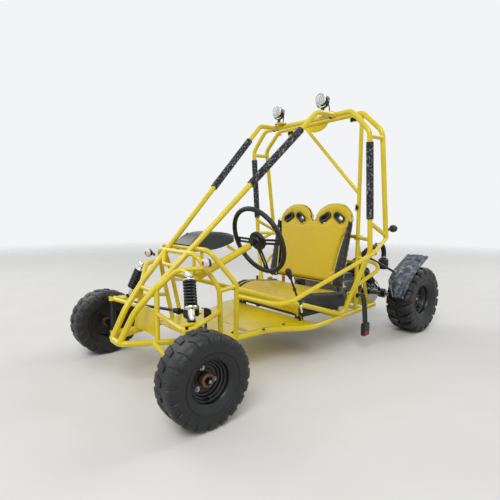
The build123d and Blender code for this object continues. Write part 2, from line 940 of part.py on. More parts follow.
with BuildPart() as steering_column:
    with BuildSketch(Plane(origin=along_column(column_start_station), x_dir=(1, 0, 0), z_dir=column_axis)):
        Circle(column_radius)
    extrude(amount=(column_end_station - column_start_station) / cos(slope))
    for station, top in ((front_hoop_station, front_hoop_top), (dash_hoop_station, dash_hoop_top)):
        low_height = along_column(station).Z
        with BuildSketch(Plane.XZ.offset(-(front_axle_y + station))):
            with Locations((steering_half_offset, (low_height + top) / 2)):
                Rectangle(column_radius, top - low_height)
        extrude(amount=bracket_thickness / 2, both=True)
    pod_hold = along_column(pod_bracket_station)
    with BuildSketch(Plane.XZ.offset(-pod_hold.Y)):
        with BuildLine():
            Polyline(
                (pod_hold.X, pod_hold.Z),
                (pod_hold.X, pod_hold.Z + column_radius),
                (pod_half_width, pod_tail_low[1] + pod_bracket_lap),
                (pod_half_width - pod_bracket_width, pod_tail_low[1] + pod_bracket_lap),
                close=True,
            )
        make_face()
    extrude(amount=bracket_thickness / 2, both=True)
    with BuildSketch(Plane(origin=along_column(column_low_station), x_dir=(1, 0, 0), z_dir=column_axis)):
        Circle(shaft_radius + kingpin_gap)
    extrude(amount=(steering_wheel_station - column_low_station) / cos(slope), mode=Mode.SUBTRACT)
    for cutter in (front_hoop, dash_hoop, front_pillars, dash_tray):
        add(cutter.part, mode=Mode.SUBTRACT)
steering_column.part.label = "steering_column"

# Steering wheel with its shaft and the drop arm at the shaft's lower end
drop_top = along_column(column_low_station + drop_arm_width / 2)
with BuildPart() as steering_wheel:
    with BuildSketch(Plane(origin=wheel_centre, x_dir=column_axis, z_dir=(1, 0, 0))):
        with Locations((0, steering_wheel_radius)):
            Circle(steering_grip_radius)
    revolve(axis=Axis(wheel_centre, column_axis))
    wheel_plane = Plane(origin=wheel_centre, x_dir=(1, 0, 0), z_dir=column_axis)
    with BuildSketch(wheel_plane):
        Circle(steering_hub_radius)
        for angle in (0, 90, 180):
            with Locations(Rot(0, 0, angle) * Pos(steering_wheel_radius / 2, 0)):
                Rectangle(steering_wheel_radius, spoke_width)
    extrude(amount=spoke_thickness / 2, both=True)
    with BuildSketch(Plane(origin=along_column(column_low_station), x_dir=(1, 0, 0), z_dir=column_axis)):
        Circle(shaft_radius)
    extrude(amount=(steering_wheel_station - column_low_station) / cos(slope))
    with BuildSketch(Plane.XZ.offset(-drop_top.Y)):
        with Locations((drop_top.X, drop_top.Z)):
            Circle(drop_arm_width)
        with Locations((drop_top.X, drop_top.Z - drop_arm_length / 2)):
            Rectangle(drop_arm_width, drop_arm_length)
        with Locations((drop_top.X, drop_top.Z - drop_arm_length)):
            SlotOverall(2 * rod_spread + drop_arm_width, drop_arm_width)
    extrude(amount=drop_arm_thickness / 2, both=True)
steering_wheel.part.label = "steering_wheel"

# Front knuckles: kingpin barrel, spindle and steering arm, one on each side
rod_eye_height = steering_arm_height + arm_plate / 2 + pivot_face_gap + rod_eye_width / 2
arm_end_half = kingpin_half - steering_arm_inset
rod_outer = at(arm_end_half, steering_arm_reach, steering_arm_height)
inner_end_y = drop_top.Y - drop_arm_thickness / 2 - rod_clearance - rod_eye_radius
for side, label in ((1, "left"), (-1, "right")):
    with BuildPart() as knuckle:
        with BuildSketch(Plane.XY.offset(barrel_low)):
            with Locations(at(side * kingpin_half, 0, 0)[:2]):
                Circle(barrel_radius)
        extrude(amount=barrel_high - barrel_low)
        with BuildSketch(Plane.XY.offset(barrel_low - kingpin_stick_out)):
            with Locations(at(side * kingpin_half, 0, 0)[:2]):
                Circle(kingpin_radius)
        extrude(amount=barrel_high - barrel_low + 2 * kingpin_stick_out)
        spindle_start = at(side * kingpin_half, 0, front_tyre_radius)
        spindle_plane = Plane(origin=spindle_start, x_dir=(0, 1, 0), z_dir=(side, 0, 0))
        with BuildSketch(spindle_plane):
            Circle(spindle_radius)
        extrude(amount=kingpin_to_wheel + hub_half_width + spindle_stick_out)
        with BuildSketch(spindle_plane):
            Circle(spindle_radius + spindle_collar)
        extrude(amount=kingpin_to_wheel - hub_half_width - pivot_face_gap)
        with BuildSketch(Plane.XY.offset(steering_arm_height - arm_plate / 2)):
            with BuildLine():
                Polyline(
                    at(side * (kingpin_half - steering_arm_half), 0, 0)[:2],
                    at(side * (arm_end_half - steering_arm_half), steering_arm_reach, 0)[:2],
                    at(side * (arm_end_half + steering_arm_half), steering_arm_reach, 0)[:2],
                    at(side * (kingpin_half + steering_arm_half), 0, 0)[:2],
                    close=True,
                )
            make_face()
            with Locations(at(side * arm_end_half, steering_arm_reach, 0)[:2]):
                Circle(steering_arm_half)
        extrude(amount=arm_plate)
        with BuildSketch(Plane.XY.offset(steering_arm_height)):
            with Locations(at(side * arm_end_half, steering_arm_reach, 0)[:2]):
                Circle(rod_pin_radius)
        extrude(amount=arm_plate / 2 + pivot_face_gap + rod_eye_width + pivot_face_gap)
    knuckle.part.label = f"knuckle_{label}"
    export_step(knuckle.part, f"parts/knuckle_{label}.step")

    # Tie rod from the steering arm to beside the drop arm
    eye_centre = (side * rod_outer[0], rod_outer[1], rod_eye_height)
    inner = (steering_half_offset + side * rod_spread, inner_end_y, drop_top.Z - drop_arm_length)
    with BuildPart() as tie_rod:
        with BuildSketch(Plane.XY.offset(rod_eye_height - rod_eye_width / 2)):
            with Locations(eye_centre[:2]):
                Circle(rod_eye_radius)
        extrude(amount=rod_eye_width)
        bend_tube([between(eye_centre, inner, rod_start_share), inner], rod_radius)
        with BuildSketch(Plane.XZ.offset(-inner_end_y)):
            with Locations((inner[0], inner[2])):
                Circle(rod_eye_radius)
        extrude(amount=rod_eye_width / 2, both=True)
        with BuildSketch(Plane.XY.offset(rod_eye_height - rod_eye_width)):
            with Locations(eye_centre[:2]):
                Circle(rod_pin_radius + kingpin_gap)
        extrude(amount=2 * rod_eye_width, mode=Mode.SUBTRACT)
        with BuildSketch(Plane.XY.offset(rod_eye_height - rod_eye_width / 2)):
            with Locations(eye_centre[:2]):
                Circle(2 * rod_eye_radius)
        extrude(amount=-rod_eye_width, mode=Mode.SUBTRACT)
    tie_rod.part.label = f"tie_rod_{label}"
    export_step(tie_rod.part, f"parts/tie_rod_{label}.step")

# Wheels: axle station, half track, tyre radius and width, lugs a side and their depth, rim radius,
# bore, half width of the hub. Front rims run on the spindle, and rear rims are bolted to the axle.
front_wheel = (
    front_axle_y, front_half_track, front_tyre_radius, front_tyre_width, front_lugs, front_lug_depth,
    front_rim_radius, spindle_radius + kingpin_gap, hub_half_width,
)
rear_wheel = (
    rear_axle_y, rear_half_track, rear_tyre_radius, rear_tyre_width, rear_lugs, rear_lug_depth,
    rear_rim_radius, axle_radius, 0,
)
for label, side, sizes in (
    ("front_left", 1, front_wheel),
    ("front_right", -1, front_wheel),
    ("rear_left", 1, rear_wheel),
    ("rear_right", -1, rear_wheel),
):
    axle_y, half_track, tyre_radius, tyre_width, lugs, lug_depth, rim_radius, bore, hub = sizes
    wheel_origin = (side * half_track, axle_y, tyre_radius)
    half_width = tyre_width / 2
    bead_half = half_width * bead_share

    # The tyre is a closed shell of flat faces. Each turn of it has a lug and then a groove on one
    # shoulder, and the groove first on the other. Rows are (share of the way out, radius).
    turns = [radians(-90 + 180 * turn / lugs) for turn in range(2 * lugs + 1)]
    base_radius = tyre_radius - lug_depth
    bead_radius = (rim_radius + seat_gap) / cos(radians(90 / lugs))
    wall = (half_width, (tyre_radius + rim_radius) / 2)
    middle = (half_width * centre_share, base_radius)
    lug_rows = [
        wall,
        (half_width, tyre_radius - tyre_shoulder),
        (half_width * tread_share, tyre_radius),
        (half_width * centre_share, tyre_radius),
        middle,
    ]
    groove_rows = [
        wall,
        (half_width - groove_inset, tyre_radius - tyre_shoulder - lug_depth),
        (half_width * tread_share, base_radius),
        middle,
    ]

    def on_tyre(row, shoulder, turn):
        """The point of a row on one shoulder of the tyre, at a turn round the axle."""
        out, reach = row
        return (
            wheel_origin[0] + shoulder * out,
            wheel_origin[1] + reach * cos(turns[turn]),
            wheel_origin[2] + reach * sin(turns[turn]),
        )

    facets = []
    bead = (bead_half, bead_radius)
    for turn in range(2 * lugs):
        for shoulder in (-1, 1):
            rows = lug_rows if (turn % 2 == 0) == (shoulder > 0) else groove_rows
            for low, high in zip([bead] + rows, rows):
                facets.append([on_tyre(low, shoulder, turn), on_tyre(low, shoulder, turn + 1),
                               on_tyre(high, shoulder, turn + 1), on_tyre(high, shoulder, turn)])
            facets.append([on_tyre(row, shoulder, turn) for row in lug_rows + groove_rows[-2:0:-1]])
        for row in (bead, middle):
            facets.append([on_tyre(row, -1, turn), on_tyre(row, 1, turn),
                           on_tyre(row, 1, turn + 1), on_tyre(row, -1, turn + 1)])
    with BuildPart() as tyre:
        add(Solid(Shell([Face(Wire.make_polygon(facet)) for facet in facets])))
    tyre.part.label = f"tyre_{label}"
    export_step(tyre.part, f"parts/tyre_{label}.step")

    # The rim's section is drawn with X along the axle and Y away from it, then turned round the axle.
    section_plane = Plane(origin=wheel_origin, x_dir=(side, 0, 0), z_dir=(0, -side, 0))
    with BuildPart() as rim:
        with BuildSketch(section_plane):
            with BuildLine():
                Polyline(
                    (-bead_half, rim_radius),
                    (bead_half, rim_radius),
                    (bead_half, rim_radius - rim_wall),
                    (disc_out + rim_wall, rim_radius - rim_wall),
                    (disc_out + rim_wall - disc_dish, hub_radius + disc_dish),
                    (disc_out + rim_wall - disc_dish, bore),
                    (disc_out - disc_dish, bore),
                    (disc_out - disc_dish, hub_radius + disc_dish),
                    (disc_out, rim_radius - rim_wall),
                    (-bead_half, rim_radius - rim_wall),
                    close=True,
                )
            make_face()
            if hub:
                with Locations((0, (hub_radius + bore) / 2)):
                    Rectangle(2 * hub, hub_radius - bore)
        revolve(axis=Axis(wheel_origin, (1, 0, 0)))
    rim.part.label = f"rim_{label}"
    export_step(rim.part, f"parts/rim_{label}.step")

# Rear axle with its threaded stubs, hub flanges, the sprocket and the brake disc
rim_face = rear_half_track + disc_out - disc_dish + rim_wall
with BuildPart() as rear_axle:
    axle_middle = Plane(origin=(0, rear_axle_y, rear_tyre_radius), x_dir=(0, 1, 0), z_dir=(1, 0, 0))
    with BuildSketch(axle_middle):
        Circle(axle_radius)
    extrude(amount=rim_face, both=True)
    with BuildSketch(axle_middle):
        Circle(axle_stub_radius)
    extrude(amount=rim_face + axle_stub_length, both=True)
    for side in (-1, 1):
        flange_face = side * (rear_half_track + disc_out - disc_dish)
        with BuildSketch(axle_middle.offset(flange_face)):
            Circle(hub_radius + disc_dish)
        extrude(amount=-side * flange_thickness)
    for plate_offset, plate_radius in ((sprocket_offset, sprocket_radius), (disc_offset, disc_radius)):
        with BuildSketch(axle_middle.offset(plate_offset)):
            Circle(plate_radius)
        extrude(amount=plate_thickness / 2, both=True)
rear_axle.part.label = "rear_axle"

# Swing arm: pivot tube, two arms and the axle bearings
with BuildPart() as swing_arm:
    pivot_point = at(0, swing_pivot_station, swing_pivot_height)
    axle_point = at(0, wheelbase, rear_tyre_radius)
    bend_tube([pivot_point, (swing_half_width, pivot_point[1], pivot_point[2])], main_radius)
    arm_front = (swing_half_width, pivot_point[1], pivot_point[2])
    arm_rear = (swing_half_width, axle_point[1], axle_point[2])
    bend_tube([arm_front, arm_rear], main_radius)
    with BuildSketch(Plane(origin=arm_rear, x_dir=(0, 1, 0), z_dir=(1, 0, 0))):
        Circle(bearing_radius)
    extrude(amount=bearing_width / 2, both=True)
    with BuildSketch(Plane(origin=arm_rear, x_dir=(0, 1, 0), z_dir=(1, 0, 0))):
        Circle(axle_radius + axle_gap)
    extrude(amount=bearing_width, both=True, mode=Mode.SUBTRACT)
    mirror(about=Plane.YZ)
swing_arm.part.label = "swing_arm"

# Rear shock absorbers, from the stays' bar to the swing arm
with BuildPart() as rear_shocks:
    shock(
        (rear_shock_half, front_axle_y + rear_shock_station, rear_shock_foot_height),
        (rear_shock_half, shock_bar[1], shock_bar[2]),
    )
    mirror(about=Plane.YZ)
    for cutter in (rear_stays, swing_arm):
        add(cutter.part, mode=Mode.SUBTRACT)
rear_shocks.part.label = "rear_shocks"

# Engine: crankcase with its belt case and fan cover, finned cylinder, intake and silencer
with BuildPart() as engine_crankcase:
    with Locations(at(0, (engine_front + engine_rear) / 2, (engine_low + engine_high) / 2)):
        Box(2 * engine_half_width, engine_rear - engine_front, engine_high - engine_low)
    fillet(engine_crankcase.edges().filter_by(Axis.X), engine_round)
    for station in (engine_cross_station, engine_rear_cross_station):
        with BuildSketch(Plane.XY.offset(rail_height)):
            with Locations(*[at(x, station, 0)[:2] for x in (-engine_half_width / 2, engine_half_width / 2)]):
                Rectangle(foot_width, 2 * brace_radius)
        extrude(amount=(engine_low + engine_high) / 2 - rail_height)
    with BuildSketch(Plane.YZ.offset(engine_half_width)):
        with Locations((front_axle_y + belt_case_station, belt_case_height)):
            SlotCenterToCenter(belt_case_span, 2 * belt_case_radius)
    extrude(amount=belt_case_depth)
    with BuildSketch(Plane.YZ.offset(-engine_half_width)):
        with Locations((front_axle_y + fan_cover_station, belt_case_height)):
            Circle(fan_cover_radius)
    extrude(amount=-fan_cover_depth)
    add(lower_frame.part, mode=Mode.SUBTRACT)
engine_crankcase.part.label = "engine_crankcase"

with BuildPart() as engine_cylinder:
    with BuildSketch(Plane.XY.offset(engine_high)):
        with Locations(at(cylinder_offset, cylinder_station, 0)[:2]):
            Rectangle(cylinder_width - 2 * fin_depth, cylinder_width - 2 * fin_depth)
    extrude(amount=cylinder_height)
    for fin in range(fin_count):
        with BuildSketch(Plane.XY.offset(engine_high + (fin + 0.5) * cylinder_height / fin_count)):
            with Locations(at(cylinder_offset, cylinder_station, 0)[:2]):
                RectangleRounded(cylinder_width, cylinder_width, fin_depth)
        extrude(amount=fin_thickness)
    with BuildSketch(Plane.XY.offset(engine_high + cylinder_height - fin_thickness)):
        with Locations(at(cylinder_offset, cylinder_station, 0)[:2]):
            RectangleRounded(head_cover_width, head_cover_width, fin_depth)
    extrude(amount=fin_thickness + head_cover_height)
engine_cylinder.part.label = "engine_cylinder"

with BuildPart() as intake_hose:
    hose_station = cylinder_station + cylinder_width / 2 - 2 * fin_depth
    hose_start = at(cylinder_offset, hose_station, engine_high + cylinder_height / 2)
    bend_tube(
        [
            hose_start,
            at(*hose_low),
            at(*hose_top_front),
            at(*hose_top_rear),
            at(*hose_end),
        ],
        hose_radius,
        [hose_bend, hose_bend, hose_bend],
    )
    bend_tube(
        [
            between(hose_start, at(*hose_low), carburettor_front_share),
            between(hose_start, at(*hose_low), carburettor_rear_share),
        ],
        carburettor_radius,
    )
    with BuildSketch(Plane.XY.offset(hose_end[2])):
        with Locations(at(*hose_end)[:2]):
            Circle(filter_radius)
    extrude(amount=-filter_length)
    add(engine_cylinder.part, mode=Mode.SUBTRACT)
intake_hose.part.label = "intake_hose"

with BuildPart() as silencer:
    with BuildSketch(Plane.YZ.offset(silencer_right)):
        with Locations((front_axle_y + silencer_station, silencer_height)):
            Circle(silencer_radius)
    extrude(amount=silencer_left - silencer_right)
    fillet(silencer.edges().filter_by(GeomType.CIRCLE), silencer_round)
    bend_tube(
        [
            at(0, silencer_station - silencer_radius + pipe_lap, silencer_height),
            at(0, engine_rear - pipe_lap, silencer_height),
        ],
        hose_radius,
    )
    add(engine_crankcase.part, mode=Mode.SUBTRACT)
silencer.part.label = "silencer"

# Rear mudguards on their stays: an arc in front of the tyre, a straight flare over it and a narrow foot
arc_plane = Plane(origin=(mudguard_inner, rear_axle_y, rear_tyre_radius), x_dir=(0, 1, 0), z_dir=(1, 0, 0))
stay_angle = radians(mudguard_stay_angle)
outer_radius = mudguard_radius + mudguard_wall
mudguard_top = mudguard_radius + rear_tyre_radius + mudguard_flare
flare_turn = radians(mudguard_flare_angle)
foot_turn = radians(mudguard_front_angle)
flare_run = (mudguard_flare * sin(flare_turn), -mudguard_flare * cos(flare_turn))
inner_lip = (mudguard_radius * cos(flare_turn), mudguard_radius * sin(flare_turn))
outer_lip = (outer_radius * cos(flare_turn), outer_radius * sin(flare_turn))
inner_end = (inner_lip[0] + flare_run[0], inner_lip[1] + flare_run[1])
outer_end = (outer_lip[0] + flare_run[0], outer_lip[1] + flare_run[1])
mudguard_outer = mudguard_inner + mudguard_width
with BuildPart() as mudguards:
    with BuildSketch(arc_plane):
        with BuildLine():
            for arc_radius in (mudguard_radius, outer_radius):
                CenterArc((0, 0), arc_radius, mudguard_flare_angle, mudguard_front_angle - mudguard_flare_angle)
            Polyline(inner_lip, inner_end, outer_end, outer_lip)
            Line(
                (mudguard_radius * cos(foot_turn), mudguard_radius * sin(foot_turn)),
                (outer_radius * cos(foot_turn), outer_radius * sin(foot_turn)),
            )
        make_face()
    extrude(amount=mudguard_width)
    with BuildSketch(Plane.XZ.offset(-rear_axle_y)):
        with BuildLine():
            Polyline(
                (mudguard_inner, mudguard_top),
                (mudguard_outer, mudguard_top),
                (mudguard_outer, mudguard_waist_height),
                (mudguard_outer - mudguard_tip_outer_inset, mudguard_tip_height),
                (mudguard_inner + mudguard_tip_inner_inset, mudguard_tip_height),
                (mudguard_inner, mudguard_waist_height),
                close=True,
            )
        make_face()
    extrude(amount=2 * mudguard_radius, both=True, mode=Mode.INTERSECT)
    guard_hold = (
        mudguard_inner + thin_radius,
        rear_axle_y + outer_radius * cos(stay_angle),
        rear_tyre_radius + outer_radius * sin(stay_angle),
    )
    bend_tube([between(stay_top, stay_foot, mudguard_stay_share), guard_hold], thin_radius)
    mirror(about=Plane.YZ)
    add(rear_stays.part, mode=Mode.SUBTRACT)
mudguards.part.label = "mudguards"

# Lamps: two spot lamps on the roof, two indicators and the tail lamp
with BuildPart() as roof_lamps:
    lamp_centre = at(*roof_lamp_place)
    with BuildSketch(Plane(origin=lamp_centre, x_dir=(1, 0, 0), z_dir=(0, 0, 1))):
        with BuildLine():
            Polyline(
                (0, 0),
                (roof_lamp_radius, 0),
                *[(roof_lamp_radius * out, roof_lamp_depth * back) for out, back in roof_lamp_bowl],
                (0, roof_lamp_depth),
                close=True,
            )
        make_face()
    revolve(axis=Axis(lamp_centre, (0, 1, 0)))
    lamp_bar = at(roof_lamp_place[0], main_hoop_station, main_hoop_top)
    with BuildSketch(Plane.YZ.offset(roof_lamp_place[0])):
        with BuildLine():
            Polyline(
                (lamp_centre[1] + roof_lamp_depth / 2 - lamp_bracket_half, lamp_centre[2]),
                (lamp_centre[1] + roof_lamp_depth / 2 + lamp_bracket_half, lamp_centre[2]),
                (lamp_bar[1] + lamp_bracket_half, lamp_bar[2]),
                (lamp_bar[1] - lamp_bracket_half, lamp_bar[2]),
                close=True,
            )
        make_face()
    extrude(amount=bracket_thickness / 2, both=True)
    mirror(about=Plane.YZ)
    add(main_hoop.part, mode=Mode.SUBTRACT)
roof_lamps.part.label = "roof_lamps"

with BuildPart() as indicators:
    indicator_centre = at(*indicator_place)
    with BuildSketch(Plane(origin=indicator_centre, x_dir=(1, 0, 0), z_dir=(0, -1, 0))):
        Circle(indicator_radius)
    extrude(amount=-indicator_depth)
    bend_tube(
        [
            (indicator_centre[0], indicator_centre[1] + indicator_depth / 2, indicator_centre[2]),
            between(front_hoop_corner, front_shoulder, indicator_share),
        ],
        thin_radius,
    )
    mirror(about=Plane.YZ)
    add(front_hoop.part, mode=Mode.SUBTRACT)
indicators.part.label = "indicators"

with BuildPart() as tail_lamps:
    tail_centre = at(*tail_lamp_place)
    with BuildSketch(Plane(origin=tail_centre, x_dir=(1, 0, 0), z_dir=(0, 1, 0))):
        Circle(tail_lamp_radius)
    extrude(amount=tail_lamp_depth)
    bend_tube([tail_centre, between(rear_shoulder, rear_foot, tail_lamp_share)], thin_radius)
    mirror(about=Plane.YZ)
    add(rear_hoop.part, mode=Mode.SUBTRACT)
tail_lamps.part.label = "tail_lamps"

# Pedals on their cross bar
with BuildPart() as pedals:
    pedal_foot = pan_bottom + pan_thickness
    for x in pedal_offsets:
        with Locations(at(x, pedal_station, pedal_foot + pedal_height / 2)):
            Box(pedal_stem, pedal_stem, pedal_height)
        with Locations(at(x, pedal_station + pedal_stem, pedal_foot + pedal_height - pedal_pad / 2)):
            Box(pedal_pad, pedal_stem, pedal_pad)
    add(lower_frame.part, mode=Mode.SUBTRACT)
pedals.part.label = "pedals"

# Gear lever on the left side rail
with BuildPart() as gear_lever:
    lever_share = (hoop_cross_station - lever_station) / (hoop_cross_station - rail_front_station)
    lever_foot = between(leg_foot, side_rail_end, lever_share)
    lever_top = (lever_foot[0] + lever_lean_out, lever_foot[1] - lever_lean_front, lever_foot[2] + lever_height)
    bend_tube([lever_foot, lever_top], thin_radius)
    add(main_hoop.part, mode=Mode.SUBTRACT)
    with BuildSketch(Plane(origin=lever_top, z_dir=Vector(*lever_top) - Vector(*lever_foot))):
        Circle(knob_radius)
    extrude(amount=2 * knob_radius)
    fillet(gear_lever.edges().filter_by(GeomType.CIRCLE).sort_by(Axis.Z)[-1], knob_radius / 2)
gear_lever.part.label = "gear_lever"

for node in (
    lower_frame, front_pillars, main_hoop, rear_hoop, seat_posts, rear_stays, dash_hoop, front_hoop, shock_towers,
    side_guard_left, side_guard_right, rear_guards, foam_sleeves, floor_pan, seat_base, seat_cushion, seat_back,
    dash_tray, upper_arms, lower_arms, front_shocks, steering_column, steering_wheel, rear_axle, swing_arm,
    rear_shocks, engine_crankcase, engine_cylinder, intake_hose, silencer, mudguards, roof_lamps, indicators,
    tail_lamps, pedals, gear_lever,
):
    export_step(node.part, f"parts/{node.part.label}.step")
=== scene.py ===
# %% [markdown]
# Two-seat off-road buggy: a bent-tube cage, four knobbly tyres, a bench seat and open suspension.
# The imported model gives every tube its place, and this lesson dresses it: finishes for what is right
# already, and new pieces for what is soft, sprung, treaded or bolted.

# %% Load the model
import math

import bmesh
import bpy
from mathutils import Matrix, Vector
from mathutils.bvhtree import BVHTree


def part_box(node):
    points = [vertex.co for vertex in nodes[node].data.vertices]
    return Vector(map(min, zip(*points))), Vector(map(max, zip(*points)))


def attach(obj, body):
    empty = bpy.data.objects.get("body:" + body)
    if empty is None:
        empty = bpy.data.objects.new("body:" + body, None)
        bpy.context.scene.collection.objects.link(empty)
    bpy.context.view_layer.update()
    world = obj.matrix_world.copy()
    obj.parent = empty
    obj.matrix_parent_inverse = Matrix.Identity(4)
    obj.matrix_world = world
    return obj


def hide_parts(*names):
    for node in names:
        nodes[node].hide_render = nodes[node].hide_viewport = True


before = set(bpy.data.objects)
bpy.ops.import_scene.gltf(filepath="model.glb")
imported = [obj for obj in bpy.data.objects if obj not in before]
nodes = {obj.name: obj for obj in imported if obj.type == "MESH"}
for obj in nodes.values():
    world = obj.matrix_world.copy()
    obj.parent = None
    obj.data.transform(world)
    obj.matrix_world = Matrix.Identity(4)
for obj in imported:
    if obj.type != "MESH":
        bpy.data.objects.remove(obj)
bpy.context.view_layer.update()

# %% [markdown]
# The source measures in millimetres, with stations counted backwards from the front axle.
# One helper turns such a place into metres, so both files can be read side by side.

# %% Places
MM = 0.001
FRONT_AXLE_Y = -832.5
WHEELBASE = 1627.0
SIDES = (("left", 1), ("right", -1))


def at(x, station, height):
    """A point in metres from its side offset, its station behind the front axle and its height."""
    return Vector((x, FRONT_AXLE_Y + station, height)) * MM


# %% [markdown]
# The camera stands where the photographer stood: a little in front of the left front wheel, at seat
# height, looking down by six degrees. A wide lens gives the strong perspective of the near wheel.

# %% Camera
CAMERA_PLACE = Vector((1.544, -1.5315, 0.729))
TURN, PITCH, ROLL = (math.radians(angle) for angle in (49.64, 6.63, 0.25))
look = Vector((-math.sin(TURN) * math.cos(PITCH), math.cos(TURN) * math.cos(PITCH), -math.sin(PITCH)))
level = Vector((math.cos(TURN), math.sin(TURN), 0))
rise = level.cross(look)
image_right = level * math.cos(ROLL) + rise * math.sin(ROLL)
image_up = rise * math.cos(ROLL) - level * math.sin(ROLL)
camera_data = bpy.data.cameras.new("camera")
FILM, PICTURE, FOCAL, SHIFT_X, SHIFT_Y = 36, 500, 384.9, -1.5, 8.5
camera_data.sensor_width = FILM
camera_data.lens = FOCAL / PICTURE * FILM
camera_data.shift_x = SHIFT_X / PICTURE
camera_data.shift_y = SHIFT_Y / PICTURE
camera = bpy.data.objects.new("camera", camera_data)
facing = Matrix((image_right, image_up, -look)).transposed().to_4x4()
camera.matrix_world = Matrix.Translation(CAMERA_PLACE) @ facing
bpy.context.scene.collection.objects.link(camera)
bpy.context.scene.camera = camera
bpy.context.scene.view_settings.view_transform = "Standard"

# %% [markdown]
# A material is a small tree of nodes. One function adds a node with its settings and links, so that
# every finish below reads as a recipe. Colours are written as they look on screen, in sRGB hex.

# %% Helpers for finishes


def paint(code):
    """A linear colour from an sRGB hex code."""
    values = [int(code[i : i + 2], 16) / 255 for i in (0, 2, 4)]
    return tuple(v / 12.92 if v <= 0.04045 else ((v + 0.055) / 1.055) ** 2.4 for v in values) + (1.0,)


def add(tree, kind, inputs=None, stops=(), **settings):
    """Adds one node to a tree, sets its fields and colour stops, and links or fills its inputs."""
    made = tree.nodes.new(kind)
    for name, value in settings.items():
        setattr(made, name, value)
    for name, value in (inputs or {}).items():
        if isinstance(value, bpy.types.NodeSocket):
            tree.links.new(value, made.inputs[name])
        else:
            made.inputs[name].default_value = value
    for _ in stops[2:]:
        made.color_ramp.elements.new(0.5)
    for element, (place, code) in zip(made.color_ramp.elements if stops else (), stops):
        element.position, element.color = place, paint(code)
    return made


def finish(name, roughness, cloud=None, stops=(), grain=None, swing=None, metallic=0.0, **fields):
    """A material, with its tree, shader and object coordinates, for what a finish adds by itself.

    A cloud is (features per metre, detail, coarseness), and colours it by the stops. The roughness
    swings with it between two values. A grain is (features per metre, detail, strength, depth).
    """
    material = bpy.data.materials.new(name)
    material.use_nodes = True
    tree = material.node_tree
    shader = tree.nodes["Principled BSDF"]
    for field, value in {"Roughness": roughness, "Metallic": metallic, **fields}.items():
        shader.inputs[field.replace("_", " ")].default_value = value
    place = add(tree, "ShaderNodeTexCoord").outputs["Object"]
    if cloud:
        settings = dict(zip(("Vector", "Scale", "Detail", "Roughness"), (place, *cloud)))
        shade = add(tree, "ShaderNodeTexNoise", settings).outputs["Fac"]
        colour = add(tree, "ShaderNodeValToRGB", {"Fac": shade}, stops).outputs["Color"]
        tree.links.new(colour, shader.inputs["Base Color"])
    if swing:
        settings = {"Value": shade, "To Min": swing[0], "To Max": swing[1]}
        swung = add(tree, "ShaderNodeMapRange", settings).outputs["Result"]
        tree.links.new(swung, shader.inputs["Roughness"])
    if grain:
        scale, detail, strength, depth = grain
        settings = {"Vector": place, "Scale": scale, "Detail": detail, "Roughness": 0.55}
        height = add(tree, "ShaderNodeTexNoise", settings).outputs["Fac"]
        settings = {"Height": height, "Strength": strength, "Distance": depth}
        relief = add(tree, "ShaderNodeBump", settings).outputs["Normal"]
        tree.links.new(relief, shader.inputs["Normal"])
    return material, tree, shader, place


# %% [markdown]
# The cage is powder-coated steel. The powder melts into a thick glossy skin with a faint orange peel,
# about 2 mm from crest to crest. It gathers dust and chips on its upper sides; here small chips are scattered
# at random.

# %% Powder coat
powder_yellow, tree, shader, place = finish(
    "powder_coat_yellow", 0.3, (9.0, 4.0, 0.55), ((0.30, "D8BF08"), (0.55, "E0C90C"), (0.8, "E8D41A")),
    (140.0, 2.0, 0.04, 0.0006), (0.24, 0.4), Coat_Weight=0.25, Coat_Roughness=0.12,
)
body_colour = shader.inputs["Base Color"].links[0].from_socket
wear = add(tree, "ShaderNodeTexNoise", {"Vector": place, "Scale": 90.0, "Detail": 5.0, "Roughness": 0.7})
chipped = add(tree, "ShaderNodeValToRGB", {"Fac": wear.outputs["Fac"]},
              ((0.755, "000000"), (0.775, "FFFFFF")))
settings = {"Factor": chipped.outputs["Color"], "A": body_colour, "B": paint("6B5A20")}
mixed = add(tree, "ShaderNodeMix", settings, data_type="RGBA")
tree.links.new(mixed.outputs["Result"], shader.inputs["Base Color"])
print("powder coat nodes", len(tree.nodes))

# %% [markdown]
# The grips on the pillars are closed-cell foam with a printed speckle of greys, 4 to 8 mm a patch.
# The mudguards are moulded plastic with a printed cloud of blue-greys. One cloud with many close
# stops gives both, as a print has few inks and hard edges.

# %% Speckled foam and printed plastic
speckled_foam = finish(
    "closed_cell_foam_speckled", 0.85, (95.0, 4.0, 0.7),
    ((0.40, "0E0E10"), (0.49, "1B1C1F"), (0.55, "3A3C41"), (0.61, "7B7E84"), (0.68, "B4B6BA")),
    (900.0, 2.0, 0.5, 0.0008),
)[0]
printed_grey = finish(
    "printed_abs_grey", 0.38, (34.0, 6.0, 0.72),
    ((0.36, "1B1E22"), (0.46, "353C45"), (0.55, "57616D"), (0.66, "8C96A2")),
    (700.0, 2.0, 0.15, 0.0004), Coat_Weight=0.2, Coat_Roughness=0.25,
)[0]
print("speckled", speckled_foam.name, "printed", printed_grey.name)

# %% [markdown]
# Seat covers are vinyl: PVC on a knitted back, embossed with a fine leather grain about 1.5 mm wide.
# The grain is cells and not a cloud, because an embossing roll presses closed pebbles.

# %% Vinyl


def vinyl(name, low, high, roughness):
    """A vinyl finish in two close shades with an embossed grain."""
    stops = ((0.3, low), (0.7, high))
    material, tree, shader, place = finish(name, roughness, (7.0, 3.0, 0.55), stops, Sheen_Weight=0.05)
    grain = add(tree, "ShaderNodeTexVoronoi", {"Vector": place, "Scale": 620.0}, feature="SMOOTH_F1")
    settings = {"Height": grain.outputs["Distance"], "Strength": 0.3, "Distance": 0.0006}
    tree.links.new(add(tree, "ShaderNodeBump", settings).outputs["Normal"], shader.inputs["Normal"])
    return material


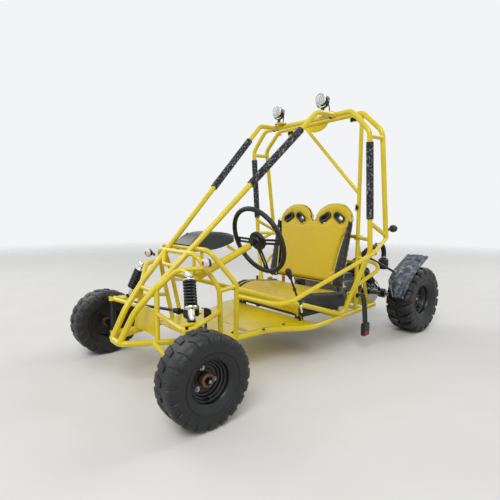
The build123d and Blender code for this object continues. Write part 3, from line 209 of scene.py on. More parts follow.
vinyl_yellow = vinyl("vinyl_yellow", "CDB004", "D3B608", 0.42)
vinyl_black = vinyl("vinyl_black", "0E0F10", "191A1C", 0.45)
piping_cream = vinyl("vinyl_piping_cream", "D9CB6A", "E6DB86", 0.4)
print("vinyls", vinyl_yellow.name, vinyl_black.name, piping_cream.name)

# %% [markdown]
# Tyre rubber is carbon black in natural rubber. It is dull, goes grey where it scuffs, and holds
# dust. Moulded plastic and webbing are as dark, and differ in gloss and in the size of their grain.

# %% Rubber and plastics


def dark_moulding(name, low, high, roughness, grain, depth):
    """A dark moulded finish: rubber or plastic with a fine texture from its mould."""
    stops, swing = ((0.3, low), (0.75, high)), (roughness - 0.08, roughness + 0.1)
    return finish(name, roughness, (26.0, 5.0, 0.7), stops, (grain, 3.0, 0.35, depth), swing)[0]


tyre_rubber = dark_moulding("tyre_rubber", "0C0D0E", "16181A", 0.5, 700.0, 0.0006)
grip_rubber = dark_moulding("grip_rubber", "0D0E0F", "18191B", 0.5, 1400.0, 0.0004)
moulded_black = dark_moulding("moulded_abs_black", "101113", "1D1F22", 0.4, 1100.0, 0.0004)
moulded_grey = dark_moulding("moulded_abs_grey", "2B2E33", "3A3E45", 0.3, 900.0, 0.0003)
webbing_black = dark_moulding("woven_webbing_black", "111214", "1C1D20", 0.75, 1300.0, 0.0008)
red_button = finish("red_abs_button", 0.35, (200.0, 3.0, 0.55), ((0.3, "8E1518"), (0.7, "A81C1E")))[0]
print("rubber", tyre_rubber.name, "plastic", moulded_black.name)

# %% [markdown]
# Bare metals: zinc-plated bolts, a cast aluminium engine, chromed lamp rims and black-painted steel.
# Their roughness swings with the same cloud as their colour, as handling and oil dull both together.

# %% Metals


def metal(name, low, high, roughness, grain=300.0, depth=0.0003, metallic=1.0):
    """A metal finish with patchy colour and a fine relief."""
    stops, swing = ((0.3, low), (0.7, high)), (roughness * 0.75, roughness * 1.3)
    return finish(name, roughness, (60.0, 5.0, 0.65), stops, (grain, 3.0, 0.3, depth), swing, metallic)[0]


zinc_plate = metal("zinc_plated_steel", "8E8C84", "B9B8B2", 0.3)
cast_alloy = metal("cast_aluminium", "75767A", "9C9DA1", 0.5, 900.0, 0.0008)
chrome = metal("chrome_plate", "D8DADC", "F2F3F4", 0.06, 60.0, 0.00005)
turned_steel = metal("turned_steel", "7C7D80", "A6A7AA", 0.25, 900.0, 0.0001)
rusted_hub = metal("unpainted_cast_iron", "5D4434", "8A6A52", 0.6, 500.0, 0.0006, 0.6)
black_paint = metal("black_enamel_on_steel", "0B0C0D", "17181A", 0.34, 500.0, 0.0003, 0.0)
spring_paint = metal("black_spring_paint", "0E0F12", "1B1D22", 0.3, 400.0, 0.0002, 0.0)
print("metals", zinc_plate.name, chrome.name)

# %% [markdown]
# Lenses are clear or tinted acrylic with ribs moulded in them, which spread the bulb's light. A
# reflector shows through, so the lens itself stays simple.

# %% Lenses


def lens(name, colour, roughness, through):
    """A tinted acrylic lens with fine ribs moulded in it."""
    material, tree, shader, place = finish(name, roughness, IOR=1.49, Transmission_Weight=through)
    shader.inputs["Base Color"].default_value = paint(colour)
    ribs = add(tree, "ShaderNodeTexWave", {"Vector": place, "Scale": 120.0, "Distortion": 0.0})
    settings = {"Height": ribs.outputs["Fac"], "Strength": 0.25, "Distance": 0.0004}
    tree.links.new(add(tree, "ShaderNodeBump", settings).outputs["Normal"], shader.inputs["Normal"])
    return material


clear_lens = lens("clear_acrylic", "F4F6F7", 0.12, 0.5)
amber_lens = lens("orange_acrylic", "E0502A", 0.15, 0.35)
red_lens = lens("red_acrylic", "B3161A", 0.12, 0.35)
white_lens = lens("frosted_white_acrylic", "F1ECE6", 0.25, 0.3)
print("lenses", clear_lens.name, amber_lens.name, red_lens.name, white_lens.name)

# %% [markdown]
# Most of the CAD's solids have the right shape already, so they only get their finish.

# %% Finishes for the CAD's own pieces
YELLOW_NODES = """lower_frame front_pillars main_hoop rear_hoop seat_posts rear_stays dash_hoop front_hoop
shock_towers side_guard_left side_guard_right rear_guards floor_pan upper_arms lower_arms
steering_column""".split()
FINISHES = {
    powder_yellow: YELLOW_NODES,
    speckled_foam: ["foam_sleeves"],
    vinyl_yellow: ["seat_cushion", "seat_back"],
    printed_grey: ["dash_tray", "mudguards"],
    moulded_black: ["tail_lamps", "intake_hose", "gear_lever"],
    black_paint: """seat_base swing_arm steering_wheel knuckle_left knuckle_right tie_rod_left
        tie_rod_right rim_front_left rim_front_right rim_rear_left rim_rear_right pedals silencer""".split(),
    turned_steel: ["rear_axle"],
    spring_paint: ["front_shocks", "rear_shocks"],
    cast_alloy: ["engine_crankcase", "engine_cylinder"],
    chrome: ["roof_lamps"],
    white_lens: ["indicators"],
    tyre_rubber: ["tyre_front_left", "tyre_front_right", "tyre_rear_left", "tyre_rear_right"],
}
for material, names in FINISHES.items():
    for name in names:
        nodes[name].data.materials.clear()
        nodes[name].data.materials.append(material)
bare = set(nodes) - {name for names in FINISHES.values() for name in names}
print("nodes without a finish", sorted(bare))

# %% [markdown]
# New pieces are drawn with a few hand tools: a profile turned on a lathe, a rod swept along a route,
# a plate cut from an outline, and a hexagon bolt made of two turned shapes. Each tool adds closed
# shapes to one drawing, so a lamp or a hub is one mesh. Lathe and sweep are written out here instead
# of using Screw or a bevelled curve, because their ends then close without a second step.

# %% Tools for shapes


def axes_of(axis):
    """Two directions at right angles to an axis and to each other."""
    axis = Vector(axis).normalized()
    aside = Vector((0, 0, 1)) if abs(axis.z) < 0.9 else Vector((0, 1, 0))
    across = aside.cross(axis).normalized()
    return across, axis.cross(across)


def skin(drawing, rings, closed_along=False):
    """Joins rings of points into a closed surface; a ring of one point is a pole."""
    made = [[drawing.verts.new(point) for point in ring] for ring in rings]
    pairs = list(zip(made, made[1:]))
    if closed_along:
        pairs.append((made[-1], made[0]))
    for low, high in pairs:
        count = max(len(low), len(high))
        for i in range(count):
            j = (i + 1) % count
            corners = [low[i % len(low)], low[j % len(low)], high[j % len(high)], high[i % len(high)]]
            unique = list(dict.fromkeys(corners))
            if len(unique) > 2:
                drawing.faces.new(unique)
    if not closed_along:
        for ring in (made[0], made[-1]):
            if len(ring) > 2:
                drawing.faces.new(ring)


def turned(drawing, profile, place, axis, steps=32, closed=False):
    """Turns a profile of (radius, distance along), in millimetres, round an axis."""
    place, axis = Vector(place), Vector(axis).normalized()
    across, over = axes_of(axis)
    rings = []
    for radius, along in profile:
        radius, along = radius * MM, along * MM
        if radius < 1e-6:
            rings.append([place + axis * along])
            continue
        angles = [math.tau * step / steps for step in range(steps)]
        rings.append([place + axis * along + (across * math.cos(a) + over * math.sin(a)) * radius
                      for a in angles])
    skin(drawing, rings, closed_along=closed)


def rod(drawing, route, radius, steps=12, closed=False):
    """Sweeps a round section along a route. A radius, in millimetres, may be one or one a point."""
    route = [Vector(point) for point in route]
    radii = [r * MM for r in (radius if isinstance(radius, (list, tuple)) else [radius] * len(route))]
    count = len(route)
    across = None
    rings = []
    for i, point in enumerate(route):
        before = route[i - 1] if closed or i else route[0]
        after = route[(i + 1) % count] if closed or i < count - 1 else route[-1]
        along = (after - before).normalized()
        if across is None:
            across, over = axes_of(along)
        across = (across - along * across.dot(along)).normalized()
        over = along.cross(across)
        angles = [math.tau * step / steps for step in range(steps)]
        rings.append([point + (across * math.cos(a) + over * math.sin(a)) * radii[i] for a in angles])
    skin(drawing, rings, closed_along=closed)


def eased(points, steps=8, closed=False):
    """A smooth route through a few points, as a cable or a bent rod takes."""
    points = [Vector(point) for point in points]
    count = len(points)
    route = []
    for i in range(count if closed else count - 1):
        p0 = points[i - 1] if closed or i else points[0] * 2 - points[1]
        p1, p2 = points[i], points[(i + 1) % count]
        p3 = points[(i + 2) % count] if closed or i < count - 2 else points[-1] * 2 - points[-2]
        for step in range(steps):
            t = step / steps
            route.append(0.5 * ((2 * p1) + (p2 - p0) * t + (2 * p0 - 5 * p1 + 4 * p2 - p3) * t * t
                                + (3 * p1 - p0 - 3 * p2 + p3) * t * t * t))
    return route if closed else route + [points[-1]]


def plate(drawing, outline, lift):
    """A flat plate from its outline, with its thickness as a vector in millimetres."""
    lift = Vector(lift) * MM
    skin(drawing, [[Vector(point) for point in outline], [Vector(point) + lift for point in outline]])


def bolt(drawing, place, axis, size):
    """A hexagon bolt head on its washer; size is the washer's radius in millimetres."""
    place, axis = Vector(place), Vector(axis).normalized()
    washer = ((0, 0), (size, 0), (size, size * 0.16), (0, size * 0.16))
    turned(drawing, washer, place, axis, 20)
    flat = size * 0.58
    head = ((0, size * 0.16), (flat, size * 0.16), (flat, size * 0.62), (flat * 0.86, size * 0.72),
            (0, size * 0.72))
    turned(drawing, head, place, axis, 6)


def piece(name, drawing, body, finishes, crease=35, standing_for=()):
    """Makes a drawing a named piece that rides on a body, shaded smooth up to its creases."""
    bmesh.ops.remove_doubles(drawing, verts=drawing.verts, dist=1e-6)
    bmesh.ops.recalc_face_normals(drawing, faces=drawing.faces)
    mesh = bpy.data.meshes.new(name)
    drawing.to_mesh(mesh)
    drawing.free()
    return dressed(name, mesh, body, finishes, crease, standing_for)


def dressed(name, mesh, body, finishes, crease=35, standing_for=(), level=0):
    """Gives a finished mesh its name, finishes, shading and body."""
    mesh.name = name
    for material in finishes if isinstance(finishes, (list, tuple)) else (finishes,):
        mesh.materials.append(material)
    mesh.polygons.foreach_set("use_smooth", [True] * len(mesh.polygons))
    mesh.set_sharp_from_angle(angle=math.radians(crease))
    made = bpy.data.objects.new(name, mesh)
    bpy.context.scene.collection.objects.link(made)
    if level:
        smoother = made.modifiers.new("smoother", "SUBSURF")
        smoother.levels = smoother.render_levels = level
    print(name, "faces", len(mesh.polygons))
    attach(made, body)
    if standing_for:
        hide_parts(*standing_for)
    return made


def finished_from(drawing, first_face, number):
    """Gives the faces drawn since a count the finish of that number, and tells the new count."""
    drawing.faces.ensure_lookup_table()
    for face in drawing.faces[first_face:]:
        face.material_index = number
    return len(drawing.faces)

# %% [markdown]
# Lugs, bolts and teeth repeat round an axle. Geometry Nodes place them: as many points as there are
# repeats, all on the axle, each turned a step further, with one stamp on each. The stamp is modelled
# at the top of the wheel, so turning it carries it round. The tree ends in Realize Instances and Set
# Material, and the result is made a plain mesh.

# %% Repeats round an axle
ring = bpy.data.node_groups.new("repeat_round_axle", "GeometryNodeTree")
ring.is_modifier = True
ring.interface.new_socket("Stamp", in_out="INPUT", socket_type="NodeSocketGeometry")
for label, kind in (("Count", "NodeSocketInt"), ("First turn", "NodeSocketFloat"),
                    ("Finish", "NodeSocketMaterial")):
    ring.interface.new_socket(label, in_out="INPUT", socket_type=kind)
ring.interface.new_socket("Ring", in_out="OUTPUT", socket_type="NodeSocketGeometry")
given = add(ring, "NodeGroupInput").outputs
points = add(ring, "GeometryNodePoints", {"Count": given["Count"]}).outputs["Points"]
step = add(ring, "ShaderNodeMath", {0: math.tau, 1: given["Count"]}, operation="DIVIDE").outputs[0]
index = add(ring, "GeometryNodeInputIndex").outputs["Index"]
turn = add(ring, "ShaderNodeMath", {0: index, 1: step, 2: given["First turn"]},
           operation="MULTIPLY_ADD").outputs[0]
about_x = add(ring, "ShaderNodeCombineXYZ", {"X": turn}).outputs["Vector"]
placed = add(ring, "GeometryNodeInstanceOnPoints",
             {"Points": points, "Instance": given["Stamp"], "Rotation": about_x})
real = add(ring, "GeometryNodeRealizeInstances",
           {"Geometry": placed.outputs["Instances"]}).outputs["Geometry"]
coated = add(ring, "GeometryNodeSetMaterial",
             {"Geometry": real, "Material": given["Finish"]}).outputs["Geometry"]
add(ring, "NodeGroupOutput", {"Ring": coated})
RING_SOCKETS = {item.name: item.identifier for item in ring.interface.items_tree if item.in_out == "INPUT"}


def grown(stamp, tree, sockets, values):
    """Runs a Geometry Nodes tree on a stamp's mesh and gives back the result as a plain mesh."""
    holder = bpy.data.objects.new("stamp", stamp)
    bpy.context.scene.collection.objects.link(holder)
    maker = holder.modifiers.new("maker", "NODES")
    maker.node_group = tree
    for label, value in values.items():
        maker[sockets[label]] = value
    graph = bpy.context.evaluated_depsgraph_get()
    mesh = bpy.data.meshes.new_from_object(holder.evaluated_get(graph))
    bpy.data.objects.remove(holder)
    return mesh


def ring_of(drawing, stamp, count, first_turn, material, place, side=1):
    """Adds a ring of stamps to a drawing, round an axle along X through a place."""
    mesh = bpy.data.meshes.new("stamp")
    stamp.to_mesh(mesh)
    stamp.free()
    repeated = grown(mesh, ring, RING_SOCKETS, {"Count": count, "First turn": first_turn, "Finish": material})
    repeated.transform(Matrix.Translation(place) @ Matrix.Diagonal((side, 1, 1, 1)))
    drawing.from_mesh(repeated)


# %% [markdown]
# A knobbly tyre is a smooth carcass with a row of wide rubber lugs round each shoulder. A lug runs
# from near the middle of the tread out over the shoulder and a little way down the sidewall. It is
# lofted from a few stations of six points, narrower at the top, because it has to leave its mould.
# The two rows are half a pitch apart. Sizes are read from the CAD tyre's box.

# %% Tyres
CARCASS = (
    (0.74, 0.000), (0.77, 0.035), (0.86, 0.13), (0.945, 0.29), (0.985, 0.46), (0.975, 0.60), (0.93, 0.70),
    (0.84, 0.785), (0.68, 0.845), (0.45, 0.872), (0.2, 0.885),
)
# The front tyres' lugs are shallower: their carcass stands up to this much higher under the tread.
FRONT_FULLNESS = 0.45
# Two thin ridges run round each sidewall, at these shares of the rubber's height.
RIDGES = (0.30, 0.335)
# Lug stations: share of the half width and share of the rubber's height at the top, the same at the
# foot, then half the lug's width and how far it slants round the tyre, in shares of the pitch.
LUG = (
    ((0.10, 0.985), (0.10, 0.84), 0.19, -0.12),
    ((0.16, 1.000), (0.16, 0.84), 0.23, -0.10),
    ((0.45, 1.000), (0.45, 0.82), 0.26, 0.00),
    ((0.72, 0.985), (0.70, 0.78), 0.30, 0.06),
    ((0.88, 0.930), (0.83, 0.72), 0.34, 0.10),
    ((0.975, 0.815), (0.91, 0.65), 0.35, 0.12),
    ((1.000, 0.690), (0.95, 0.58), 0.32, 0.12),
    ((0.990, 0.610), (0.96, 0.55), 0.26, 0.12),
)


def lug_stamp(half, low, high, pitch):
    """One lug of a tyre, at the top of the wheel, from the tyre's half width, radii and pitch."""
    stamp = bmesh.new()
    rings = []
    for (top_out, top_up), (foot_out, foot_up), wide, slant in LUG:
        top_radius, foot_radius = (low + (high - low) * up for up in (top_up, foot_up))
        top_place = (half * top_out, top_radius)
        foot_place = (half * foot_out, foot_radius)
        edge_place = tuple(t + (f - t) * 0.16 for t, f in zip(top_place, foot_place))
        ring_points = []
        for (out, radius), spread_share in (
            (foot_place, -1.22), (edge_place, -1.04), (top_place, -0.88),
            (top_place, 0.88), (edge_place, 1.04), (foot_place, 1.22),
        ):
            angle = (wide * spread_share + slant) * pitch / high
            ring_points.append(Vector((out, radius * math.sin(angle), radius * math.cos(angle))) * MM)
        rings.append(ring_points)
    skin(stamp, rings)
    bmesh.ops.recalc_face_normals(stamp, faces=stamp.faces)
    return stamp


for label, body, lugs in (
    ("front_left", "front_wheel_left", 20), ("front_right", "front_wheel_right", 20),
    ("rear_left", "rear_axle", 18), ("rear_right", "rear_axle", 18),
):
    low_corner, high_corner = (Vector(corner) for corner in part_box(f"tyre_{label}"))
    middle = (low_corner + high_corner) / 2
    half = (high_corner.x - low_corner.x) / 2 / MM
    high = (high_corner.z - low_corner.z) / 2 / MM
    rim_low, rim_high = (Vector(corner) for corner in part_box(f"rim_{label}"))
    low = (rim_high.z - rim_low.z) / 2 / MM + 0.3
    drawing = bmesh.new()
    full = FRONT_FULLNESS if label.startswith("front") else 0.0
    side_profile = [(low + (high - low) * min(0.95, up + full * max(0.0, up - 0.6)), half * out)
                    for out, up in CARCASS]
    profile = side_profile + [(radius, -out) for radius, out in reversed(side_profile)]
    turned(drawing, profile, middle, (1, 0, 0), 120, closed=True)
    for side in (1, -1):
        for up in RIDGES:
            radius = low + (high - low) * up
            face = half * (0.93 + (up - 0.30) * 0.8)
            bead = ((radius - 1.6, side * (face - 2)), (radius, side * (face + 1.6)),
                    (radius + 1.6, side * (face - 2)))
            turned(drawing, bead, middle, (1, 0, 0), 120, closed=True)
        pitch = math.tau * high / lugs
        phase = 0.0 if side == 1 else math.pi / lugs
        ring_of(drawing, lug_stamp(half, low, high, pitch), lugs, phase, tyre_rubber, middle, side)
    piece(f"tread_{label}", drawing, body, tyre_rubber, 40, (f"tyre_{label}",))
    print("lugs a side", lugs, "pitch mm", round(pitch, 1))

# %% [markdown]
# The rims are pressed steel in black enamel. The disc steps down in rings to a flat centre, which the
# press leaves for stiffness. The front ones carry an unpainted cast hub with a castle nut in it and
# three bolts, and the rear ones a flange and four bolts. One turned profile makes each rim, and the
# ring tree places its bolts.

# %% Rims and hubs
RIM_STEPS = (
    (0.44, 0.10), (0.47, 0.06), (0.62, 0.08), (0.66, 0.17), (0.73, 0.20), (0.77, 0.36), (0.84, 0.41),
    (0.875, 0.56), (0.93, 0.62), (0.95, 0.90), (0.985, 0.97), (1.0, 0.985),
)
RIM_BACK = (
    (1.0, -0.985), (0.975, -1.0), (0.945, -0.97), (0.93, -0.60), (0.93, -0.02), (0.80, 0.02), (0.62, 0.01),
    (0.44, 0.0),
)


def rim_bolt(size, radius, out):
    """A bolt head at the top of a wheel, at a radius from the axle and a distance out, in millimetres."""
    stamp = bmesh.new()
    bolt(stamp, (out * MM, 0, radius * MM), (1, 0, 0), size)
    bmesh.ops.recalc_face_normals(stamp, faces=stamp.faces)
    return stamp


for label, body, side, front in (
    ("front_left", "front_wheel_left", 1, True), ("front_right", "front_wheel_right", -1, True),
    ("rear_left", "rear_axle", 1, False), ("rear_right", "rear_axle", -1, False),
):
    low_corner, high_corner = (Vector(corner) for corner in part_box(f"rim_{label}"))
    middle = (low_corner + high_corner) / 2
    radius = (high_corner.z - low_corner.z) / 2 / MM
    tyre_low, tyre_high = (Vector(corner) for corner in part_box(f"tyre_{label}"))
    bead = (tyre_high.x - tyre_low.x) / 2 * 0.75 / MM
    middle.x = (tyre_low.x + tyre_high.x) / 2
    axis = (side, 0, 0)
    drawing = bmesh.new()
    profile = [(radius * r, bead * x) for r, x in RIM_STEPS + RIM_BACK]
    bore = 10.4 if front else 12.6
    profile = [(bore, bead * 0.10)] + profile + [(bore, 0.0)]
    turned(drawing, profile, middle, axis, 96, closed=True)
    valve = middle + Vector((side * bead * 0.42, 0, -radius * 0.82)) * MM
    turned(drawing, ((0, 0), (4, 0), (3, 9), (4, 10), (4, 20), (0, 20)), valve, (side, 0, 0.25), 14)
    faces = finished_from(drawing, 0, 0)
    if front:
        hub = ((bore, 3), (24, 3), (25, 12), (25, 27), (22, 30), (16.5, 30), (15.5, 20), (bore, 20))
        turned(drawing, hub, middle, axis, 48, closed=True)
        back = ((bore, -30), (22, -30), (24, -2), (bore, -2))
        turned(drawing, back, middle, axis, 48, closed=True)
    else:
        flange = ((bore, -14), (34, -14), (34, -6), (24, -0.2), (bore, -0.2))
        turned(drawing, flange, middle, axis, 48, closed=True)
        turned(drawing, ((bore, 6), (19, 6), (17, 16), (bore, 16)), middle, axis, 40, closed=True)
    faces = finished_from(drawing, faces, 1)
    bolts, circle = (3, 42) if front else (4, 50)
    ring_of(drawing, rim_bolt(10, circle, bead * 0.085), bolts, math.radians(14), zinc_plate, middle, side)
    finished_from(drawing, faces, 2)
    piece(f"pressed_rim_{label}", drawing, body, (black_paint, rusted_hub, zinc_plate), 35, (f"rim_{label}",))
    print("bolts", bolts, "bead mm", round(bead, 1))

for label, side in SIDES:
    end = Vector(at(side * 471, 0, 165))
    drawing = bmesh.new()
    nut = ((0, 20.5), (9.5, 20.5), (9.5, 31), (7.5, 31.5), (7.5, 36), (0, 36))
    turned(drawing, nut, end, (side, 0, 0), 6)
    turned(drawing, ((0, 36), (6, 36), (6, 42), (5, 43), (0, 43)), end, (side, 0, 0), 24)
    piece(f"castle_nut_{label}", drawing, f"knuckle_{label}", turned_steel, 30)

# %% [markdown]
# The steering wheel has a foam rim on a steel ring, with a bump for each finger row where the hands
# lie, three pressed spokes and a padded hub. Straps, spokes and belts are one more tool: a flat
# section swept along a route, with the direction of its width given.

# %% Steering wheel


def strap(drawing, route, width_way, width, thickness):
    """Sweeps a flat section along a route; width and thickness are millimetres."""
    route = [Vector(point) for point in route]
    rings = []
    for i, point in enumerate(route):
        along = (route[min(i + 1, len(route) - 1)] - route[max(i - 1, 0)]).normalized()
        across = Vector(width_way)
        across = (across - along * across.dot(along)).normalized() * (width * MM) / 2
        over = along.cross(across).normalized() * (thickness * MM) / 2
        rings.append([point - across - over, point + across - over, point + across + over,
                      point - across + over])
    skin(drawing, rings)


COLUMN_SLOPE = math.radians(22.5)
column_axis = Vector((0, math.cos(COLUMN_SLOPE), math.sin(COLUMN_SLOPE)))
wheel_middle = at(150, 527, 600)
wheel_right, wheel_down = Vector((1, 0, 0)), column_axis.cross(Vector((1, 0, 0)))
GRIP_RADIUS, WHEEL_RADIUS = 12, 165
drawing = bmesh.new()
route, sizes = [], []
for step in range(180):
    angle = math.tau * step / 180
    route.append(wheel_middle + (wheel_right * math.cos(angle) + wheel_down * math.sin(angle))
                 * WHEEL_RADIUS * MM)
    sizes.append(GRIP_RADIUS * (0.97 + 0.03 * math.cos(angle * 36)))
rod(drawing, route, sizes, 20, closed=True)
for angle in (0, math.pi / 2, math.pi):
    out = wheel_right * math.cos(angle) + wheel_down * math.sin(angle)
    tangent = wheel_right * -math.sin(angle) + wheel_down * math.cos(angle)
    bent = [wheel_middle + out * r * MM + column_axis * lift * MM
            for r, lift in ((20, -8), (50, -7), (80, -4), (120, -1), (156, 0))]
    faces = len(drawing.faces)
    for offset in (-9, 9):
        strap(drawing, [point + tangent * offset * MM for point in bent], tangent, 11, 3.5)
    strap(drawing, [bent[0], bent[1], bent[1] + out * 12 * MM], tangent, 30, 3.5)
    strap(drawing, [bent[3] + out * 14 * MM, bent[4]], tangent, 30, 3.5)
hub = ((0, -22), (26, -22), (30, -14), (46, -12), (48, -6), (46, 6), (38, 13), (22, 16), (0, 17))
turned(drawing, hub, wheel_middle, column_axis, 48)
faces = finished_from(drawing, 0, 0)
lower_end = wheel_middle + column_axis * ((120 - 527) / math.cos(COLUMN_SLOPE)) * MM
turned(drawing, ((0, 0), (9, 0), (9, 415), (0, 415)), lower_end, column_axis, 24)
arm_top = wheel_middle + column_axis * ((132 - 527) / math.cos(COLUMN_SLOPE)) * MM
arm_low = arm_top - Vector((0, 0, 120 * MM))
outline = []
for step in range(13):
    angle = math.pi * step / 12
    outline.append(arm_top + Vector((math.cos(angle), 0, math.sin(angle))) * 20 * MM)
for step in range(13):
    angle = math.pi + math.pi * step / 12
    outline.append(arm_low + Vector((math.cos(angle) * 26, 0, math.sin(angle) * 12)) * MM)
plate(drawing, [point + Vector((0, -4 * MM, 0)) for point in outline], (0, 8, 0))
turned(drawing, ((0, -14), (15, -14), (17, 0), (15, 14), (0, 14)), arm_top, column_axis, 32)
finished_from(drawing, faces, 1)
piece("padded_steering_wheel", drawing, "steering", (grip_rubber, black_paint), 35, ("steering_wheel",))
print("steering wheel across mm", 2 * (WHEEL_RADIUS + GRIP_RADIUS))

# %% [markdown]
# The bench seat is foam in sewn vinyl: yellow faces, black bolsters and a black shell, with a cream
# cord in the seams. Foam pushes a cover out until its seams hold it, which cloth under a little
# pressure does too. So each pad starts as a cut shape, is remeshed to even cells, swells for a few
# frames as cloth, and no point may move further than the foam would let it. The cord comes after
# that, because a remesh would swallow it.

# %% Pads


def prism(outline, holes, lift):
    """A drawing of a flat shape with holes, as loops of points; lift is its thickness in millimetres."""
    drawing = bmesh.new()
    for loop in [outline] + holes:
        corners = [drawing.verts.new(point) for point in loop]
        for i, corner in enumerate(corners):
            drawing.edges.new((corner, corners[(i + 1) % len(corners)]))
    bmesh.ops.triangle_fill(drawing, edges=drawing.edges[:], use_beauty=True)
    grown_part = bmesh.ops.extrude_face_region(drawing, geom=drawing.faces[:])
    moved = [item for item in grown_part["geom"] if isinstance(item, bmesh.types.BMVert)]
    bmesh.ops.translate(drawing, vec=Vector(lift) * MM, verts=moved)
    bmesh.ops.recalc_face_normals(drawing, faces=drawing.faces)
    return drawing


def pad(name, drawing, finishes, cell, reach, keep=None):
    """Swells a drawing into a padded piece; cell and reach are metres, keep flattens what rests."""
    mesh = bpy.data.meshes.new(name)
    drawing.to_mesh(mesh)
    drawing.free()
    worker = bpy.data.objects.new("worker", mesh)
    bpy.context.scene.collection.objects.link(worker)
    remesh = worker.modifiers.new("cells", "REMESH")
    remesh.mode = "VOXEL"
    remesh.voxel_size = cell
    graph = bpy.context.evaluated_depsgraph_get()
    even = bpy.data.meshes.new_from_object(worker.evaluated_get(graph))
    worker.modifiers.clear()
    worker.data = even
    rest = [vertex.co.copy() for vertex in even.vertices]
    cloth = worker.modifiers.new("cloth", "CLOTH")
    cloth.settings.quality = 4
    cloth.settings.mass = 0.3
    cloth.settings.use_pressure = True
    cloth.settings.uniform_pressure_force = 4.0
    cloth.settings.effector_weights.gravity = 0
    for frame_number in range(1, 15):
        bpy.context.scene.frame_set(frame_number)
    graph = bpy.context.evaluated_depsgraph_get()
    swollen = bpy.data.meshes.new_from_object(worker.evaluated_get(graph))
    worker.modifiers.clear()
    bpy.context.scene.frame_set(1)
    middle = sum((vertex.co for vertex in swollen.vertices), Vector()) / len(swollen.vertices)
    before = sum(rest, Vector()) / len(rest)
    for vertex, start in zip(swollen.vertices, rest):
        move = vertex.co - (middle - before) - start
        if move.length > reach:
            move *= reach / move.length
        vertex.co = start + move
    worker.data = swollen
    result = worker.data.copy()
    bpy.data.objects.remove(worker)
    if keep:
        for vertex in result.vertices:
            vertex.co = keep(vertex.co)
    made = dressed(name, result, "chassis", finishes, 60, (), 1)
    return made


def sewn_on(pad_piece, route):
    """Moves each point of a route to the nearest place on a swollen pad, as a cord in its seam lies."""
    corners = [vertex.co.copy() for vertex in pad_piece.data.vertices]
    surface = BVHTree.FromPolygons(corners, [tuple(face.vertices) for face in pad_piece.data.polygons])
    return [surface.find_nearest(point)[0] for point in route]


LEAN = math.radians(12)
back_right, back_up = Vector((1, 0, 0)), Vector((0, math.sin(LEAN), math.cos(LEAN)))
back_away = Vector((0, math.cos(LEAN), -math.sin(LEAN)))
BACK_HALF, LOBE_HALF, SHOULDER_RISE, LOBE_RISE = 288, 146, 378, 492.5
SLOT_RISE, SLOT_OFFSET, SLOT_TILT = 390, 50, 30
BOLSTER_FOOT, BOLSTER_TOP_RISE = 66, 370


def on_back(across, up, away):
    """A point of the backrest: across and up its face, and behind it, in millimetres."""
    return at(0, 1010, 330.3) + (back_right * across + back_up * up + back_away * away) * MM


def back_outline(inset, away):
    """The backrest's outline with its two rounded tops, drawn in by an inset."""
    half = LOBE_HALF - 4
    points = [on_back(BACK_HALF - inset - 22, inset, away), on_back(BACK_HALF - inset, inset + 22, away)]
    for lobe in (1, -1):
        for step in range(19):
            angle = math.pi * step / 18
            points.append(on_back(
                lobe * LOBE_HALF + (half - inset) * math.cos(angle),
                SHOULDER_RISE + (LOBE_RISE - SHOULDER_RISE - inset) * math.sin(angle), away,
            ))
    points += [on_back(-BACK_HALF + inset, inset + 22, away), on_back(-BACK_HALF + inset + 22, inset, away)]
    return points


def face_outline(inset, away):
    """The yellow face's outline: the two rounded tops, and sides that leave room for the bolsters."""
    points = back_outline(inset, away)[2:-2]
    low = [(BACK_HALF - BOLSTER_FOOT, 12), (BACK_HALF - BOLSTER_FOOT + 4, 120),
           (BACK_HALF - BOLSTER_FOOT + 22, 240)]
    right = [on_back(x, up, away) for x, up in low]
    left = [on_back(-x, up, away) for x, up in reversed(low)]
    return right + points + left


def wing_outline(side, inset):
    """The front of one black bolster beside the face, widest at its foot and running out at the shoulder."""
    inner = BACK_HALF - BOLSTER_FOOT
    corners = ((inner + 5, 6), (BACK_HALF - inset, 6), (BACK_HALF - inset, 200),
               (BACK_HALF - inset, BOLSTER_TOP_RISE), (BACK_HALF - inset - 8, BOLSTER_TOP_RISE),
               (inner + 27, 244), (inner + 9, 124))
    points = [on_back(side * x, up, 24) for x, up in corners]
    return points if side > 0 else list(reversed(points))


def slot_outline(lobe, way, length, width, away):
    """The outline of one slot for a belt: two round ends with straight sides, tilted."""
    tilt = math.radians(-way * SLOT_TILT)
    points = []
    for step in range(20):
        angle = math.tau * (step + 0.5) / 20
        along = (length - width) / 2 * (1 if math.cos(angle) > 0 else -1) + width / 2 * math.cos(angle)
        over = width / 2 * math.sin(angle)
        points.append(on_back(
            lobe * LOBE_HALF + way * SLOT_OFFSET + along * math.cos(tilt) - over * math.sin(tilt),
            SLOT_RISE + along * math.sin(tilt) + over * math.cos(tilt), away,
        ))
    return points


